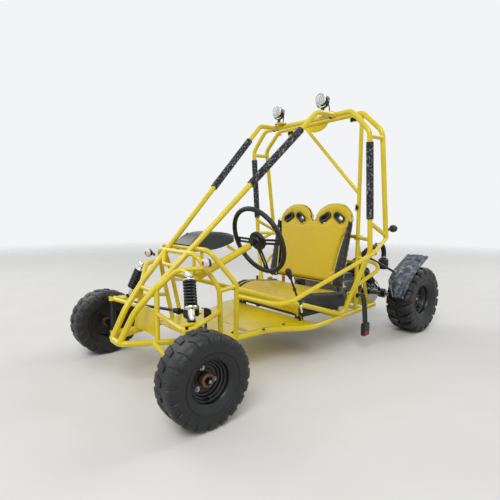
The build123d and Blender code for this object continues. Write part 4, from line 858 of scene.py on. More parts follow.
SLOT_PLACES = [(lobe, way) for lobe in (1, -1) for way in (1, -1)]
face_pad = prism(face_outline(11, 8), [slot_outline(lobe, way, 76, 34, 8) for lobe, way in SLOT_PLACES],
                 back_away * 16)
pad("backrest_face", face_pad, vinyl_yellow, 6.5 * MM, 11 * MM)
shell = prism(back_outline(9, 26), [slot_outline(lobe, way, 76, 34, 26) for lobe, way in SLOT_PLACES],
              back_away * 14)
back_shell = pad("backrest_shell", shell, vinyl_black, 7 * MM, 6 * MM)
lumbar = [on_back(x, up, 38) for x, up in ((240, 14), (262, 60), (262, 300), (220, 340), (-220, 340),
                                           (-262, 300), (-262, 60), (-240, 14))]
pad("backrest_lumbar", prism(lumbar, [], back_away * 28), vinyl_black, 8 * MM, 8 * MM)
for label, side in SIDES:
    wing = prism(wing_outline(side, 7), [], back_away * -34)
    pad(f"backrest_bolster_{label}", wing, vinyl_black, 7 * MM, 8 * MM)
    drawing = bmesh.new()
    seam = [on_back(side * x, up, away) for x, up, away in (
        (BACK_HALF - BOLSTER_FOOT + 1, 14, 0), (BACK_HALF - BOLSTER_FOOT + 6, 120, -1),
        (BACK_HALF - BOLSTER_FOOT + 23, 240, -1), (BACK_HALF - 12, 362, 2), (BACK_HALF - 8, 384, 10))]
    rod(drawing, eased(seam, 6), 3, 10)
    piece(f"bolster_piping_{label}", drawing, "chassis", piping_cream, 60)

drawing = bmesh.new()
for lobe, way in SLOT_PLACES:
    inner = slot_outline(lobe, way, 64, 23, 0)
    outer = slot_outline(lobe, way, 84, 42, 0)
    rings = []
    for loop, away in ((inner, 2), (inner, -1), (outer, -1), (outer, 5), (inner, 46)):
        rings.append([point + back_away * away * MM for point in loop])
    skin(drawing, rings, closed_along=True)
piece("belt_slot_bezels", drawing, "chassis", moulded_black, 40)

drawing = bmesh.new()
rod(drawing, eased(sewn_on(back_shell, back_outline(9, 24)), 3, closed=True), 3, 10, closed=True)
piece("backrest_piping", drawing, "chassis", piping_cream, 60)

SEAT_FRONT, SEAT_REAR, SEAT_LOW = 705, 1075, 214
CENTRE_HALF, BOLSTER_HALF = 246, 283


def cushion_profile(inset, crown):
    """The side view of the cushion: an upright front with a rounded edge, and a hollow towards the back."""
    return [
        (SEAT_FRONT + inset, SEAT_LOW + 1), (SEAT_FRONT + inset - 1, SEAT_LOW + 45),
        (SEAT_FRONT + inset + 3, 286), (SEAT_FRONT + inset + 22, 309 - inset + crown),
        (SEAT_FRONT + 74, 322 - inset + crown), (SEAT_FRONT + 150, 319 - inset + crown),
        (SEAT_REAR - 90, 305 - inset + crown), (SEAT_REAR - inset - 12, 297 - inset + crown),
        (SEAT_REAR - inset, 280), (SEAT_REAR - inset, SEAT_LOW + 1),
    ]


def lie_flat(point):
    """Keeps a pad on the seat base: nothing goes below it."""
    return Vector((point.x, point.y, max(point.z, (SEAT_LOW + 0.4) * MM)))


outline = [at(-CENTRE_HALF + 4, *place) for place in cushion_profile(9, 0)]
centre = prism(outline, [], (2 * CENTRE_HALF - 8, 0, 0))
pad("cushion_face", centre, vinyl_yellow, 7 * MM, 10 * MM, lie_flat)
for label, side in SIDES:
    outline = [at(side * (CENTRE_HALF + 5), *place) for place in cushion_profile(6, 14)]
    bolster = prism(outline, [], (side * (BOLSTER_HALF - CENTRE_HALF - 9), 0, 0))
    pad(f"cushion_bolster_{label}", bolster, vinyl_black, 6.5 * MM, 7 * MM, lie_flat)
    drawing = bmesh.new()
    line = [at(side * CENTRE_HALF, *place) for place in cushion_profile(6, 3)]
    rod(drawing, eased(line, 4), 2.6, 8)
    piece(f"cushion_piping_{label}", drawing, "chassis", piping_cream, 60)

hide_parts("seat_cushion")
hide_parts("seat_back")

# %% [markdown]
# A belt is woven webbing 42 mm wide. On each side a short one hangs from the cage behind the seat, with
# a buckle at its end. Straps like this are modelled directly, because a remesh would erase them.

# %% Belts
for label, side in SIDES:
    drawing = bmesh.new()
    hang = [at(side * x, station, height) for x, station, height in (
        (384, 1022, 300), (398, 1024, 312), (410, 1028, 306), (417, 1033, 280), (420, 1039, 235),
        (421, 1044, 185), (421, 1048, 150),
    )]
    strap(drawing, eased(hang, 5), (0, 1, 0.05), 42, 2.2)
    faces = finished_from(drawing, 0, 0)
    outline = [at(side * 414, 1048 + s, z) for s, z in (
        (-24, 158), (-28, 150), (-28, 98), (-22, 90), (22, 90), (28, 98), (28, 150), (24, 158))]
    plate(drawing, outline, (side * 16, 0, 0))
    outline = [at(side * 430, 1048 + s, z) for s, z in ((-20, 152), (-20, 120), (20, 120), (20, 152))]
    plate(drawing, outline, (side * 3, 0, 0))
    faces = finished_from(drawing, faces, 1)
    outline = [at(side * 430, 1048 + s, z) for s, z in ((-16, 114), (-16, 96), (16, 96), (16, 114))]
    plate(drawing, outline, (side * 4, 0, 0))
    finished_from(drawing, faces, 2)
    piece(f"seat_belt_{label}", drawing, "chassis", (webbing_black, moulded_black, red_button), 30)
    print("webbing mm", round(sum((b - a).length for a, b in zip(hang, hang[1:])) / MM))

# %% [markdown]
# A coil-over damper is a steel spring wound round a damper. Geometry Nodes draw the coil, because it
# follows a rule: a spiral curve with a round section swept along it. Its ends are closed and flat
# seats hold it. The front ones stand upright between arm and tower, and the rear ones lie back.

# %% Coils
coil = bpy.data.node_groups.new("wind_coil", "GeometryNodeTree")
coil.is_modifier = True
coil.interface.new_socket("Stamp", in_out="INPUT", socket_type="NodeSocketGeometry")
for label, kind in (("Turns", "NodeSocketFloat"), ("Radius", "NodeSocketFloat"),
                    ("Height", "NodeSocketFloat"), ("Wire", "NodeSocketFloat"),
                    ("Finish", "NodeSocketMaterial")):
    coil.interface.new_socket(label, in_out="INPUT", socket_type=kind)
coil.interface.new_socket("Coil", in_out="OUTPUT", socket_type="NodeSocketGeometry")
given = add(coil, "NodeGroupInput").outputs
spiral = add(coil, "GeometryNodeCurveSpiral", {
    "Resolution": 28, "Rotations": given["Turns"], "Start Radius": given["Radius"],
    "End Radius": given["Radius"], "Height": given["Height"],
}).outputs["Curve"]
section = add(coil, "GeometryNodeCurvePrimitiveCircle",
              {"Resolution": 10, "Radius": given["Wire"]}).outputs["Curve"]
swept = add(coil, "GeometryNodeCurveToMesh",
            {"Curve": spiral, "Profile Curve": section, "Fill Caps": True}).outputs[0]
real = add(coil, "GeometryNodeRealizeInstances", {"Geometry": swept}).outputs["Geometry"]
coated = add(coil, "GeometryNodeSetMaterial",
             {"Geometry": real, "Material": given["Finish"]}).outputs["Geometry"]
add(coil, "NodeGroupOutput", {"Coil": coated})
COIL_SOCKETS = {item.name: item.identifier for item in coil.interface.items_tree if item.in_out == "INPUT"}


def damper(drawing, low, high, spring_from, spring_to, turns):
    """Adds a coil-over damper: finish 0 is the spring and a sleeve inside it, 1 the bright body, rod, seats
    and collar, 2 the eyes and their bolts.
    """
    low, high = Vector(low), Vector(high)
    axis = (high - low).normalized()
    length = (high - low).length / MM
    start, stop = length * spring_from, length * spring_to
    stamp = bpy.data.meshes.new("stamp")
    sizes = {"Turns": turns, "Radius": 22 * MM, "Height": (stop - start) * MM, "Wire": 5 * MM,
             "Finish": spring_paint}
    wound = grown(stamp, coil, COIL_SOCKETS, sizes)
    turn_to = Vector((0, 0, 1)).rotation_difference(axis).to_matrix().to_4x4()
    wound.transform(Matrix.Translation(low + axis * start * MM) @ turn_to)
    before = len(drawing.faces)
    drawing.from_mesh(wound)
    turned(drawing, ((0, start), (12, start), (12, stop * 0.97), (0, stop * 0.97)), low, axis, 24)
    before = finished_from(drawing, before, 0)
    body = ((0, 6), (10, 6), (13, 10), (13, 18), (11, 20), (11, 26), (14, 29), (14, start - 6),
            (0, start - 6))
    turned(drawing, body, low, axis, 32)
    turned(drawing, ((0, stop * 0.6), (6, stop * 0.6), (6, length - 8), (0, length - 8)), low, axis, 20)
    before = finished_from(drawing, before, 1)
    for along, way in ((start, -1), (stop, 1)):
        seat = ((11.2, 3.5), (26.5, 3.5), (27, 5), (27, 9), (20, 11), (14, 16), (11.2, 16))
        seat = [(radius, way * (place - 4)) for radius, place in seat]
        turned(drawing, seat, low + axis * along * MM, axis, 40, closed=True)
    collar = ((0, 0), (15, 0), (17, 3), (17, 17), (14, 21), (0, 21))
    turned(drawing, collar, low + axis * (stop + 14) * MM, axis, 28)
    before = finished_from(drawing, before, 1)
    across = axes_of(axis)[0]
    for centre, way in ((low, 1), (high, -1)):
        eye = centre + axis * way * 10 * MM
        turned(drawing, ((0, -13), (10, -13), (11, -11), (11, 11), (10, 13), (0, 13)), eye, across, 28)
        bolt(drawing, eye + across * 13 * MM, across, 9)
    finished_from(drawing, before, 2)


drawing = bmesh.new()
for side in (1, -1):
    damper(drawing, at(side * 300.7, 59.9, 312), at(side * 217, 99, 481), 0.32, 0.88, 8.5)
piece("front_coil_overs", drawing, "chassis", (spring_paint, chrome, black_paint), 40, ("front_shocks",))
drawing = bmesh.new()
for side in (1, -1):
    damper(drawing, at(side * 170, 1570, 241), at(side * 170, 1289.7, 438), 0.30, 0.90, 9.5)
piece("rear_coil_overs", drawing, "chassis", (spring_paint, chrome, black_paint), 40, ("rear_shocks",))
print("springs front and rear", 4)

# %% [markdown]
# Each roof lamp is a black pressed bowl with a chromed bezel, a bright reflector and a clear lens. A
# bracket bent from strip holds it by two side screws, on a foot that is bolted to a yellow plate on
# the roof bar. The lamps are mirror images, so one loop makes both.

# %% Roof lamps
LAMP_X, LAMP_FRONT, LAMP_HEIGHT, LAMP_MIDDLE = 166, 939, 1329, 965
ROOF_STATION, ROOF_HEIGHT = 1001, 1250
BEZEL = ((28.5, 1.5), (30, -1), (32, 0), (33, 4), (33, 12), (31.2, 13), (31, 5), (29, 4))
REFLECTOR = ((28.6, 4.5), (27, 14), (21, 25), (11, 33), (0, 35), (0, 36), (11.4, 34), (21.7, 26),
             (28, 14.5), (29.6, 4.5))
HOUSING = ((0, 51), (5, 51), (7, 49), (20, 41), (29, 26), (31, 13), (32.4, 12.5), (32.3, 21), (29.8, 28),
           (20.5, 43), (8, 51), (6, 52), (0, 52))
LENS = ((0, -3.5), (10, -3), (20, -1.6), (28, 1.4), (28.4, 3), (0, 2.4))


for label, side in SIDES:
    front = at(side * LAMP_X, LAMP_FRONT, LAMP_HEIGHT)
    drawing = bmesh.new()
    turned(drawing, BEZEL, front, (0, 1, 0), 56, closed=True)
    turned(drawing, REFLECTOR, front, (0, 1, 0), 48, closed=False)
    faces = finished_from(drawing, 0, 0)
    turned(drawing, HOUSING, front, (0, 1, 0), 56)
    bracket = [(35, 0), (35.5, -14), (31, -27), (22, -35), (10, -38.5), (0, -39)]
    route = [at(side * LAMP_X + x, LAMP_MIDDLE, LAMP_HEIGHT + z) for x, z in bracket]
    route += [at(side * LAMP_X - x, LAMP_MIDDLE, LAMP_HEIGHT + z) for x, z in reversed(bracket[:-1])]
    strap(drawing, eased([route[0] + Vector((0, 0, 12 * MM))] + route
                         + [route[-1] + Vector((0, 0, 12 * MM))], 3),
          (0, 1, 0), 18, 2.5)
    foot = ((0, 0), (15, 0), (15, 4), (10, 6), (9, 18), (11, 19), (11, 24), (0, 24))
    turned(drawing, foot, at(side * LAMP_X, LAMP_MIDDLE, LAMP_HEIGHT - 63), (0, 0, 1), 28)
    clamp = ((13.1, -6), (15.1, -6), (15.1, 6), (13.1, 6))
    turned(drawing, clamp, at(side * (LAMP_X + 46), ROOF_STATION, ROOF_HEIGHT), (1, 0, 0), 32, closed=True)
    turned(drawing, ((0, -7), (5, -7), (5, 7), (0, 7)),
           at(side * (LAMP_X + 46), ROOF_STATION - 17, ROOF_HEIGHT + 8), (0, 0, 1), 12)
    bulb_lead = [at(side * LAMP_X, 990, 1329), at(side * LAMP_X, 1003, 1326),
                 at(side * (LAMP_X + 6), 1010, 1306), at(side * (LAMP_X + 10), 1010, 1284),
                 at(side * (LAMP_X + 14), 1012, 1268)]
    rod(drawing, eased(bulb_lead, 5), 3, 10)
    faces = finished_from(drawing, faces, 1)
    outline = []
    for corner_x, corner_station, first in ((22, 1006, 0), (-22, 1006, 90), (-22, 958, 180), (22, 958, 270)):
        for step in range(5):
            angle = math.radians(first + step * 22.5)
            outline.append(at(side * LAMP_X + corner_x + 9 * math.cos(angle),
                              corner_station + 9 * math.sin(angle), 1262.5))
    plate(drawing, outline, (0, 0, 4))
    faces = finished_from(drawing, faces, 2)
    for x in (35.5, -35.5):
        bolt(drawing, at(side * LAMP_X + x + math.copysign(1.4, x), LAMP_MIDDLE, LAMP_HEIGHT), (x, 0, 0), 11)
    bolt(drawing, at(side * (LAMP_X + 18), 1004, 1266.5), (0, 0, 1), 10)
    bolt(drawing, at(side * (LAMP_X - 18), 1004, 1266.5), (0, 0, 1), 10)
    faces = finished_from(drawing, faces, 3)
    turned(drawing, LENS, front, (0, 1, 0), 48)
    finished_from(drawing, faces, 4)
    finishes = (chrome, black_paint, powder_yellow, zinc_plate, clear_lens)
    piece(f"roof_lamp_{label}", drawing, "chassis", finishes, 30)
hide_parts("roof_lamps")

# %% [markdown]
# The indicators are round lenses with an orange centre, in shallow black cups on stalks from the
# front hoop. The tail lamps are rounded black housings with a red lens that faces backwards.

# %% Indicators and tail lamps
INDICATOR_X, INDICATOR_STATION, INDICATOR_HEIGHT = 260, 148, 532
TAIL_X, TAIL_STATION, TAIL_HEIGHT = 437, 1245, 652
CUP = ((0, 25), (9, 25), (14, 22), (19, 14), (21, 7), (20.6, 5), (18, 6), (13, 16), (0, 18))
GLASS = ((9, -10.4), (14, -8), (18.5, -4), (21.3, 1), (22, 6), (20, 8), (9, 2))
CENTRE = ((0, -12), (5, -11.6), (9, -10.2), (9, 2), (0, 2))
TAIL_CUP = ((0, -6), (10, -5), (17, -1), (20, 6), (20, 22), (18, 24), (0, 24))
TAIL_GLASS = ((0, 24.2), (18, 24.2), (17, 29), (10, 31), (0, 31.5))
for label, side in SIDES:
    face = at(side * INDICATOR_X, INDICATOR_STATION, INDICATOR_HEIGHT)
    drawing = bmesh.new()
    turned(drawing, CUP, face, (0, 1, 0), 36)
    stalk = [face + Vector((0, 22 * MM, 0)), face + Vector((-side * 6, 30, -6)) * MM,
             at(side * 248, 182, 517)]
    rod(drawing, stalk, 5.5, 14)
    faces = finished_from(drawing, 0, 0)
    turned(drawing, GLASS, face, (0, 1, 0), 36, closed=True)
    faces = finished_from(drawing, faces, 1)
    turned(drawing, CENTRE, face, (0, 1, 0), 28)
    finished_from(drawing, faces, 2)
    piece(f"indicator_{label}", drawing, "chassis", (moulded_black, white_lens, amber_lens), 35)
    drawing = bmesh.new()
    tail = at(side * TAIL_X, TAIL_STATION, TAIL_HEIGHT)
    turned(drawing, TAIL_CUP, tail, (0, 1, 0), 36)
    rod(drawing, [tail, tail + Vector((-side * 10, -20, -6)) * MM, at(side * 414, 1203, 640)], 6.5, 14)
    faces = finished_from(drawing, 0, 0)
    turned(drawing, TAIL_GLASS, tail, (0, 1, 0), 36)
    finished_from(drawing, faces, 1)
    piece(f"tail_lamp_{label}", drawing, "chassis", (moulded_black, red_lens), 35)
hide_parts("indicators")
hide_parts("tail_lamps")

# %% [markdown]
# The dash pod and the mudguards are thin vacuum-formed shells: a sheet of plastic 3 mm thick with a
# turned-down edge. Each is lofted from cross-sections as an open sheet with a rolled rim, then given
# its thickness, so no edge looks like a cut block.

# %% Dash pod
POD_HALF = 80
POD_ROUND = 18
POD_TOP = ((196, 588), (214, 604), (234, 620), (256, 631), (292, 639), (330, 642), (372, 640), (410, 634),
           (436, 625))
POD_FOOT = ((197, 579), (208, 566), (224, 563), (250, 565), (290, 566), (330, 569), (372, 577), (408, 588),
            (432, 598))


def thick_sheet(drawing, rows, thickness):
    """A closed shell from a grid of points: the grid itself, a copy moved inwards, and a rim between them."""
    bmesh.ops.recalc_face_normals(drawing, faces=drawing.faces)
    count, wide = len(rows), len(rows[0])

    def normal(i, j):
        along = rows[min(i + 1, count - 1)][j] - rows[max(i - 1, 0)][j]
        aside = rows[i][min(j + 1, wide - 1)] - rows[i][max(j - 1, 0)]
        return along.cross(aside).normalized()

    inner = [[rows[i][j] - normal(i, j) * thickness for j in range(wide)] for i in range(count)]
    grids = [[[drawing.verts.new(point) for point in row] for row in grid] for grid in (rows, inner)]
    for grid in grids:
        for i in range(count - 1):
            for j in range(wide - 1):
                drawing.faces.new((grid[i][j], grid[i + 1][j], grid[i + 1][j + 1], grid[i][j + 1]))
    outer, inside = grids
    edge = [(i, 0) for i in range(count)] + [(count - 1, j) for j in range(1, wide)]
    edge += [(i, wide - 1) for i in range(count - 2, -1, -1)] + [(0, j) for j in range(wide - 2, 0, -1)]
    for (i, j), (k, m) in zip(edge, edge[1:] + edge[:1]):
        drawing.faces.new((outer[i][j], outer[k][m], inside[k][m], inside[i][j]))


def pod_row(top, foot):
    """A cross-section of the pod: flat top with rounded shoulders and sides that lean out a little."""
    (station, high), (low_station, low) = top, foot
    drop = high - low
    round_now = min(POD_ROUND, drop * 0.5)
    half = []
    for x in (0, 20, 40, POD_HALF - round_now - 4):
        half.append((x, 0))
    for step in range(1, 6):
        angle = math.pi / 2 * step / 5
        half.append((POD_HALF - 4 - round_now * (1 - math.sin(angle)), round_now * (1 - math.cos(angle))))
    for share in (0.4, 0.7, 1.0):
        half.append((POD_HALF - 4 + 4 * share, round_now + (drop - round_now) * share))
    half.append((POD_HALF - 5, drop + 2))
    row = []
    for x, down in [(-x, down) for x, down in reversed(half[1:])] + half:
        share = min(down / drop, 1.0)
        row.append(at(x, station + (low_station - station) * share, high - down))
    return row


drawing = bmesh.new()
rows = [pod_row(top, foot) for top, foot in zip(POD_TOP, POD_FOOT)]
thick_sheet(drawing, rows, 3 * MM)
back = [at(x, 436, 625) for x in (-POD_HALF + 8, POD_HALF - 8)] + [at(POD_HALF - 8, 432, 599),
                                                                   at(-POD_HALF + 8, 432, 599)]
plate(drawing, back, (0, -3, 0))
faces = finished_from(drawing, 0, 0)
floor_outline = [at(x, station, height) for x, station, height in (
    (-74, 226, 564), (74, 226, 564), (74, 330, 570), (-74, 330, 570))]
plate(drawing, floor_outline, (0, 0, 3))
for x in (-62, 62):
    bolt(drawing, at(x, 262, 630.5), (0, -0.15, 1), 9)
finished_from(drawing, faces, 1)
piece("dash_pod_shell", drawing, "chassis", (moulded_grey, moulded_black), 40, ("dash_tray",))

# %% [markdown]
# A mudguard rises in front of each rear tyre from a foot that narrows, follows the tyre up, and runs
# straight on over the tread. It is the same 3 mm sheet, lofted row by row, because its two edges and
# its curve change along the way.

# %% Mudguards
GUARD_INNER, GUARD_WIDTH, GUARD_RADIUS, REAR_TYRE_RADIUS = 318, 137, 232, 203
FLARE_TURN, FOOT_TURN, FLARE_RUN = 118, 172, 150
WAIST, TIP, TIP_INNER, TIP_OUTER = 330, 225, 57, 25


def guard_edges(height):
    """Where a mudguard's inner and outer edges run at a height, because its foot narrows below a waist."""
    share = min(max((WAIST - height) / (WAIST - TIP), 0.0), 1.0)
    return GUARD_INNER + TIP_INNER * share, GUARD_INNER + GUARD_WIDTH - TIP_OUTER * share


for label, side in SIDES:
    places = []
    for step in range(23):
        turn_now = math.radians(FOOT_TURN - 1.5 - (FOOT_TURN - 1.5 - FLARE_TURN) * step / 22)
        places.append((GUARD_RADIUS * math.cos(turn_now), GUARD_RADIUS * math.sin(turn_now), turn_now))
    flare = math.radians(FLARE_TURN)
    for step in range(1, 9):
        run = FLARE_RUN * step / 8
        places.append((GUARD_RADIUS * math.cos(flare) + run * math.sin(flare),
                       GUARD_RADIUS * math.sin(flare) - run * math.cos(flare), flare))
    rows = []
    for along, up, turn_now in places:
        height = REAR_TYRE_RADIUS + up
        inner_edge, outer_edge = guard_edges(height)
        down = Vector((0, -math.cos(turn_now), -math.sin(turn_now)))
        section = ((0.0, 13), (0.006, 5), (0.03, 1.2), (0.07, 0), (0.12, 0.6), (0.16, 3.5), (0.20, 3.5),
                   (0.24, 0.6), (0.3, 0), (0.5, -1), (0.7, 0), (0.76, 0.6), (0.80, 3.5), (0.84, 3.5),
                   (0.88, 0.6), (0.93, 0), (0.97, 1.2), (0.994, 5), (1.0, 13))
        rows.append([
            at(side * (inner_edge + (outer_edge - inner_edge) * share), WHEELBASE + along,
               height) + down * sink * MM
            for share, sink in section
        ])
    if side < 0:
        rows = [list(reversed(row)) for row in rows]
    drawing = bmesh.new()
    thick_sheet(drawing, [list(reversed(row)) for row in rows], 3 * MM)
    faces = finished_from(drawing, 0, 0)
    slot_place = at(side * (GUARD_INNER + GUARD_WIDTH * 0.5), WHEELBASE + places[27][0],
                    REAR_TYRE_RADIUS + places[27][1])
    lie = Vector((0, math.cos(flare), math.sin(flare)))
    down_slope = Vector((0, math.sin(flare), -math.cos(flare)))
    outline = []
    for way, first in ((1, -90), (-1, 90)):
        for step in range(9):
            angle = math.radians(first + step * 22.5)
            outline.append(slot_place + Vector((way * 34 + 9 * math.cos(angle), 0, 0)) * MM
                           + down_slope * 9 * math.sin(angle) * MM + lie * 0.8 * MM)
    plate(drawing, outline, lie * -4.5)
    faces = finished_from(drawing, faces, 1)
    stay_turn = math.radians(130)
    hold = at(side * 330, WHEELBASE + 232 * math.cos(stay_turn), REAR_TYRE_RADIUS + 232 * math.sin(stay_turn))
    carried = at(side * 234, 1336, 474)
    rod(drawing, [carried, hold], 7, 16)
    outline = [hold + Vector((side * x, 0, 0)) * MM + Vector((0, -math.sin(stay_turn), math.cos(stay_turn)))
               * s * MM
               for x, s in ((-10, -18), (58, -18), (62, -12), (62, 12), (58, 18), (-10, 18))]
    plate(drawing, [point - Vector((0, math.cos(stay_turn), math.sin(stay_turn))) * 6.5 * MM
                    for point in outline],
          Vector((0, math.cos(stay_turn), math.sin(stay_turn))) * 3)
    faces = finished_from(drawing, faces, 2)
    for x in (10, 46):
        spot = hold + Vector((side * x, 0, 0)) * MM
        bolt(drawing, spot + Vector((0, math.cos(stay_turn), math.sin(stay_turn))) * 1.2 * MM,
             (0, math.cos(stay_turn), math.sin(stay_turn)), 11)
    finished_from(drawing, faces, 3)
    piece(f"mudguard_{label}", drawing, "chassis", (printed_grey, moulded_black, black_paint, zinc_plate), 40)
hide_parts("mudguards")

# %% [markdown]
# The driver's controls. The lever is a black rod with a long rubber knob, a rubber boot at its foot,
# a chromed clevis and a cable that runs back along the rail. The pedals are bent strips with ribbed
# rubber pads on one pivot tube. The tie rods are painted black, with dark rubber boots at both ends.

# %% Gear lever
LEVER_FOOT, LEVER_TOP = at(302.3, 665, 293), at(306.3, 585, 448)
KNOB = ((0, -26), (6, -26), (8, -22), (10, -10), (13.5, 2), (15, 14), (14, 23), (10, 29), (4, 32), (0, 32))
BOOT = ((0, 8), (17, 8), (18, 12), (14, 16), (15.5, 19), (12, 23), (13, 26), (9.5, 30), (10.5, 33), (7, 38),
        (5.5, 42), (0, 42))
lever_axis = (LEVER_TOP - LEVER_FOOT).normalized()
drawing = bmesh.new()
rod(drawing, [LEVER_FOOT, LEVER_TOP], 5, 16)
faces = finished_from(drawing, 0, 0)
turned(drawing, KNOB, LEVER_TOP, lever_axis, 28)
turned(drawing, BOOT, LEVER_FOOT, lever_axis, 28)
for station, height in ((0, 0), (-34, 66)):
    turned(drawing, ((0, 0), (8, 0), (8, 8), (0, 8)), at(302.5 + 0.02 * height, 660 + station, 303 + height),
           lever_axis, 12)
cable = [at(302, 668, 284), at(300, 690, 262), at(298, 730, 246), at(300, 800, 234), at(303, 900, 216),
         at(296, 1000, 204), at(272, 1090, 203), at(226, 1170, 216), at(170, 1225, 246), at(140, 1262, 270)]
rod(drawing, eased(cable, 6), 4, 10)
faces = finished_from(drawing, faces, 1)
clevis = ((0, 0), (8, 0), (8, 16), (5, 18), (5, 44), (0, 44))
turned(drawing, clevis, at(302, 668, 292), (0, 0.35, -1), 20)
bolt(drawing, at(309, 666, 288), (1, 0, 0), 10)
finished_from(drawing, faces, 2)
piece("gear_lever_dressed", drawing, "chassis", (black_paint, grip_rubber, chrome), 40, ("gear_lever",))

# %% [markdown]
# Two pedals stand on one cross bar, which three brackets hold to the floor. A pedal is a flat stem with
# a steel pad and five rubber ribs. The stem is swept along its bend; pads and ribs are cut plates.

# %% Pedals
PEDAL_STATION = 200
drawing = bmesh.new()
rod(drawing, [at(66, PEDAL_STATION, 206), at(218, PEDAL_STATION, 206)], 6, 20)
faces = finished_from(drawing, 0, 0)
for x in (66, 142, 214):
    outline = [at(x, PEDAL_STATION + s, z)
               for s, z in ((-16, 195.2), (-14, 204), (-8, 214), (8, 214), (14, 204), (16, 195.2))]
    plate(drawing, outline, (4, 0, 0))
for x in (95, 190):
    turned(drawing, ((6.2, -11), (10, -11), (10, 11), (6.2, 11)), at(x, PEDAL_STATION, 206), (1, 0, 0), 24,
           closed=True)
    stem = [at(x, PEDAL_STATION, 212), at(x, PEDAL_STATION - 5, 240), at(x, PEDAL_STATION - 4, 272),
            at(x, PEDAL_STATION + 2, 298)]
    strap(drawing, eased(stem, 5), (1, 0, 0), 14, 6)
    outline = []
    for corner_x, corner_z, first in ((14, 17, 0), (-14, 17, 90), (-14, -17, 180), (14, -17, 270)):
        for step in range(6):
            angle = math.radians(first + step * 18)
            outline.append(at(x + corner_x + 11 * math.cos(angle), PEDAL_STATION + 2,
                              299 + corner_z + 9 * math.sin(angle)))
    plate(drawing, outline, (0, 4, 0))
    faces = finished_from(drawing, faces, 0)
    for rib in range(5):
        height = 282 + rib * 8.5
        outline = [at(x + a, PEDAL_STATION + 6, height + b)
                   for a, b in ((-22, -2.6), (22, -2.6), (22, 2.6), (-22, 2.6))]
        plate(drawing, outline, (0, 4.5, 0))
    faces = finished_from(drawing, faces, 1)
for x in (60, 220):
    bolt(drawing, at(x, PEDAL_STATION, 206), (math.copysign(1, x - 140), 0, 0), 9)
finished_from(drawing, faces, 2)
piece("pedals_dressed", drawing, "chassis", (black_paint, grip_rubber, zinc_plate), 35, ("pedals",))

# %% [markdown]
# A moulded rubber bellows covers the joint at each end of a tie rod, with a lock nut behind it. It is a
# turned profile of folds that get smaller. It rides on the tie rod's own body, so it moves with it.

# %% Tie rod boots
for label, side in SIDES:
    inner, outer = at(150 + side * 14, 106, 316), at(side * 340, 105, 263)
    along = (outer - inner).normalized()
    drawing = bmesh.new()
    for end, way in ((inner, 1), (outer, -1)):
        bellows = [(7.1, 13), (11, 14)]
        for fold in range(5):
            bellows += [(14.5 - fold * 0.7, 17 + fold * 6), (11.5 - fold * 0.6, 20 + fold * 6)]
        bellows += [(8.5, 48), (7.1, 49)]
        turned(drawing, bellows, end, along * way, 28, closed=True)
    faces = finished_from(drawing, 0, 0)
    for end, way in ((inner, 1), (outer, -1)):
        turned(drawing, ((7.1, 51), (12, 51), (12, 60), (7.1, 60)), end, along * way, 6, closed=True)
    finished_from(drawing, faces, 1)
    piece(f"tie_rod_boots_{label}", drawing, f"tie_rod_{label}", (grip_rubber, zinc_plate), 40)

# %% [markdown]
# The engine is a small air-cooled single. What shows are thin cast fins on the cylinder, a ribbed belt
# case with bolts round its rim, a fan cowl with a grille, the carburettor, a rubber hose with clamps
# that drops to a can-shaped filter, and a silencer with three bands. Fins are cast 3 mm thick and
# 7 mm apart, so that air passes between them.

# %% Cylinder with its fins
CYLINDER_X, CYLINDER_STATION, BLOCK_TOP = 40, 1244, 360
FIN_PITCH, FIN_COUNT, FIN_HALF = 7.0, 9, 54


def rounded(place, half_x, half_y, corner, steps=5):
    """A rounded rectangle lying flat round a place, as a list of points."""
    points = []
    for sign_x, sign_y, first in ((1, 1, 0), (-1, 1, 90), (-1, -1, 180), (1, -1, 270)):
        for step in range(steps + 1):
            angle = math.radians(first + step * 90 / steps)
            points.append(place + Vector((
                sign_x * (half_x - corner) + corner * math.cos(angle),
                sign_y * (half_y - corner) + corner * math.sin(angle), 0,
            )) * MM)
    return points


drawing = bmesh.new()
foot = at(CYLINDER_X, CYLINDER_STATION, BLOCK_TOP)
plate(drawing, rounded(foot, 43, 43, 10), (0, 0, 65))
for fin in range(FIN_COUNT):
    half = FIN_HALF - abs(fin - 4) * 0.6
    plate(drawing, rounded(foot + Vector((0, 0, (3 + fin * FIN_PITCH) * MM)), half, half, 12), (0, 0, 3))
cover = foot + Vector((0, 0, 63 * MM))
skin(drawing, [rounded(cover, 32, 32, 11), rounded(cover + Vector((0, 0, 20 * MM)), 32, 32, 11),
               rounded(cover + Vector((0, 0, 26 * MM)), 28, 28, 9),
               rounded(cover + Vector((0, 0, 28 * MM)), 22, 22, 7)])
faces = finished_from(drawing, 0, 0)
for x, y in ((24, 24), (-24, 24), (-24, -24), (24, -24)):
    bolt(drawing, cover + Vector((x, y, 23)) * MM, (0, 0, 1), 9)
faces = finished_from(drawing, faces, 1)
plug = ((0, 0), (9, 0), (9, 10), (6, 12), (6, 28), (7.5, 30), (7.5, 46), (0, 48))
turned(drawing, plug, foot + Vector((30, -44, 48)) * MM, (0.5, -1, 0.25), 20)
tip = foot + Vector((30, -44, 48)) * MM + Vector((0.5, -1, 0.25)).normalized() * 44 * MM
lead = [tip, tip + Vector((12, -8, 8)) * MM, at(100, 1172, 440), at(118, 1200, 440), at(124, 1240, 400),
        at(112, 1272, 362)]
rod(drawing, eased(lead, 5), 3.5, 10)
finished_from(drawing, faces, 2)
piece("finned_cylinder", drawing, "chassis", (cast_alloy, zinc_plate, moulded_black), 30,
      ("engine_cylinder",))

# %% [markdown]
# The crankcase keeps the CAD's own casting. What is added is what bolts to it: the belt case's ribbed
# lid with bolts round its rim, the fan's grille of rings and spokes, base bolts and the oil cap.

# %% Details on the crankcase
drawing = bmesh.new()
CASE_STATION, CASE_HEIGHT, CASE_HALF_SPAN = 1315, 280, 65


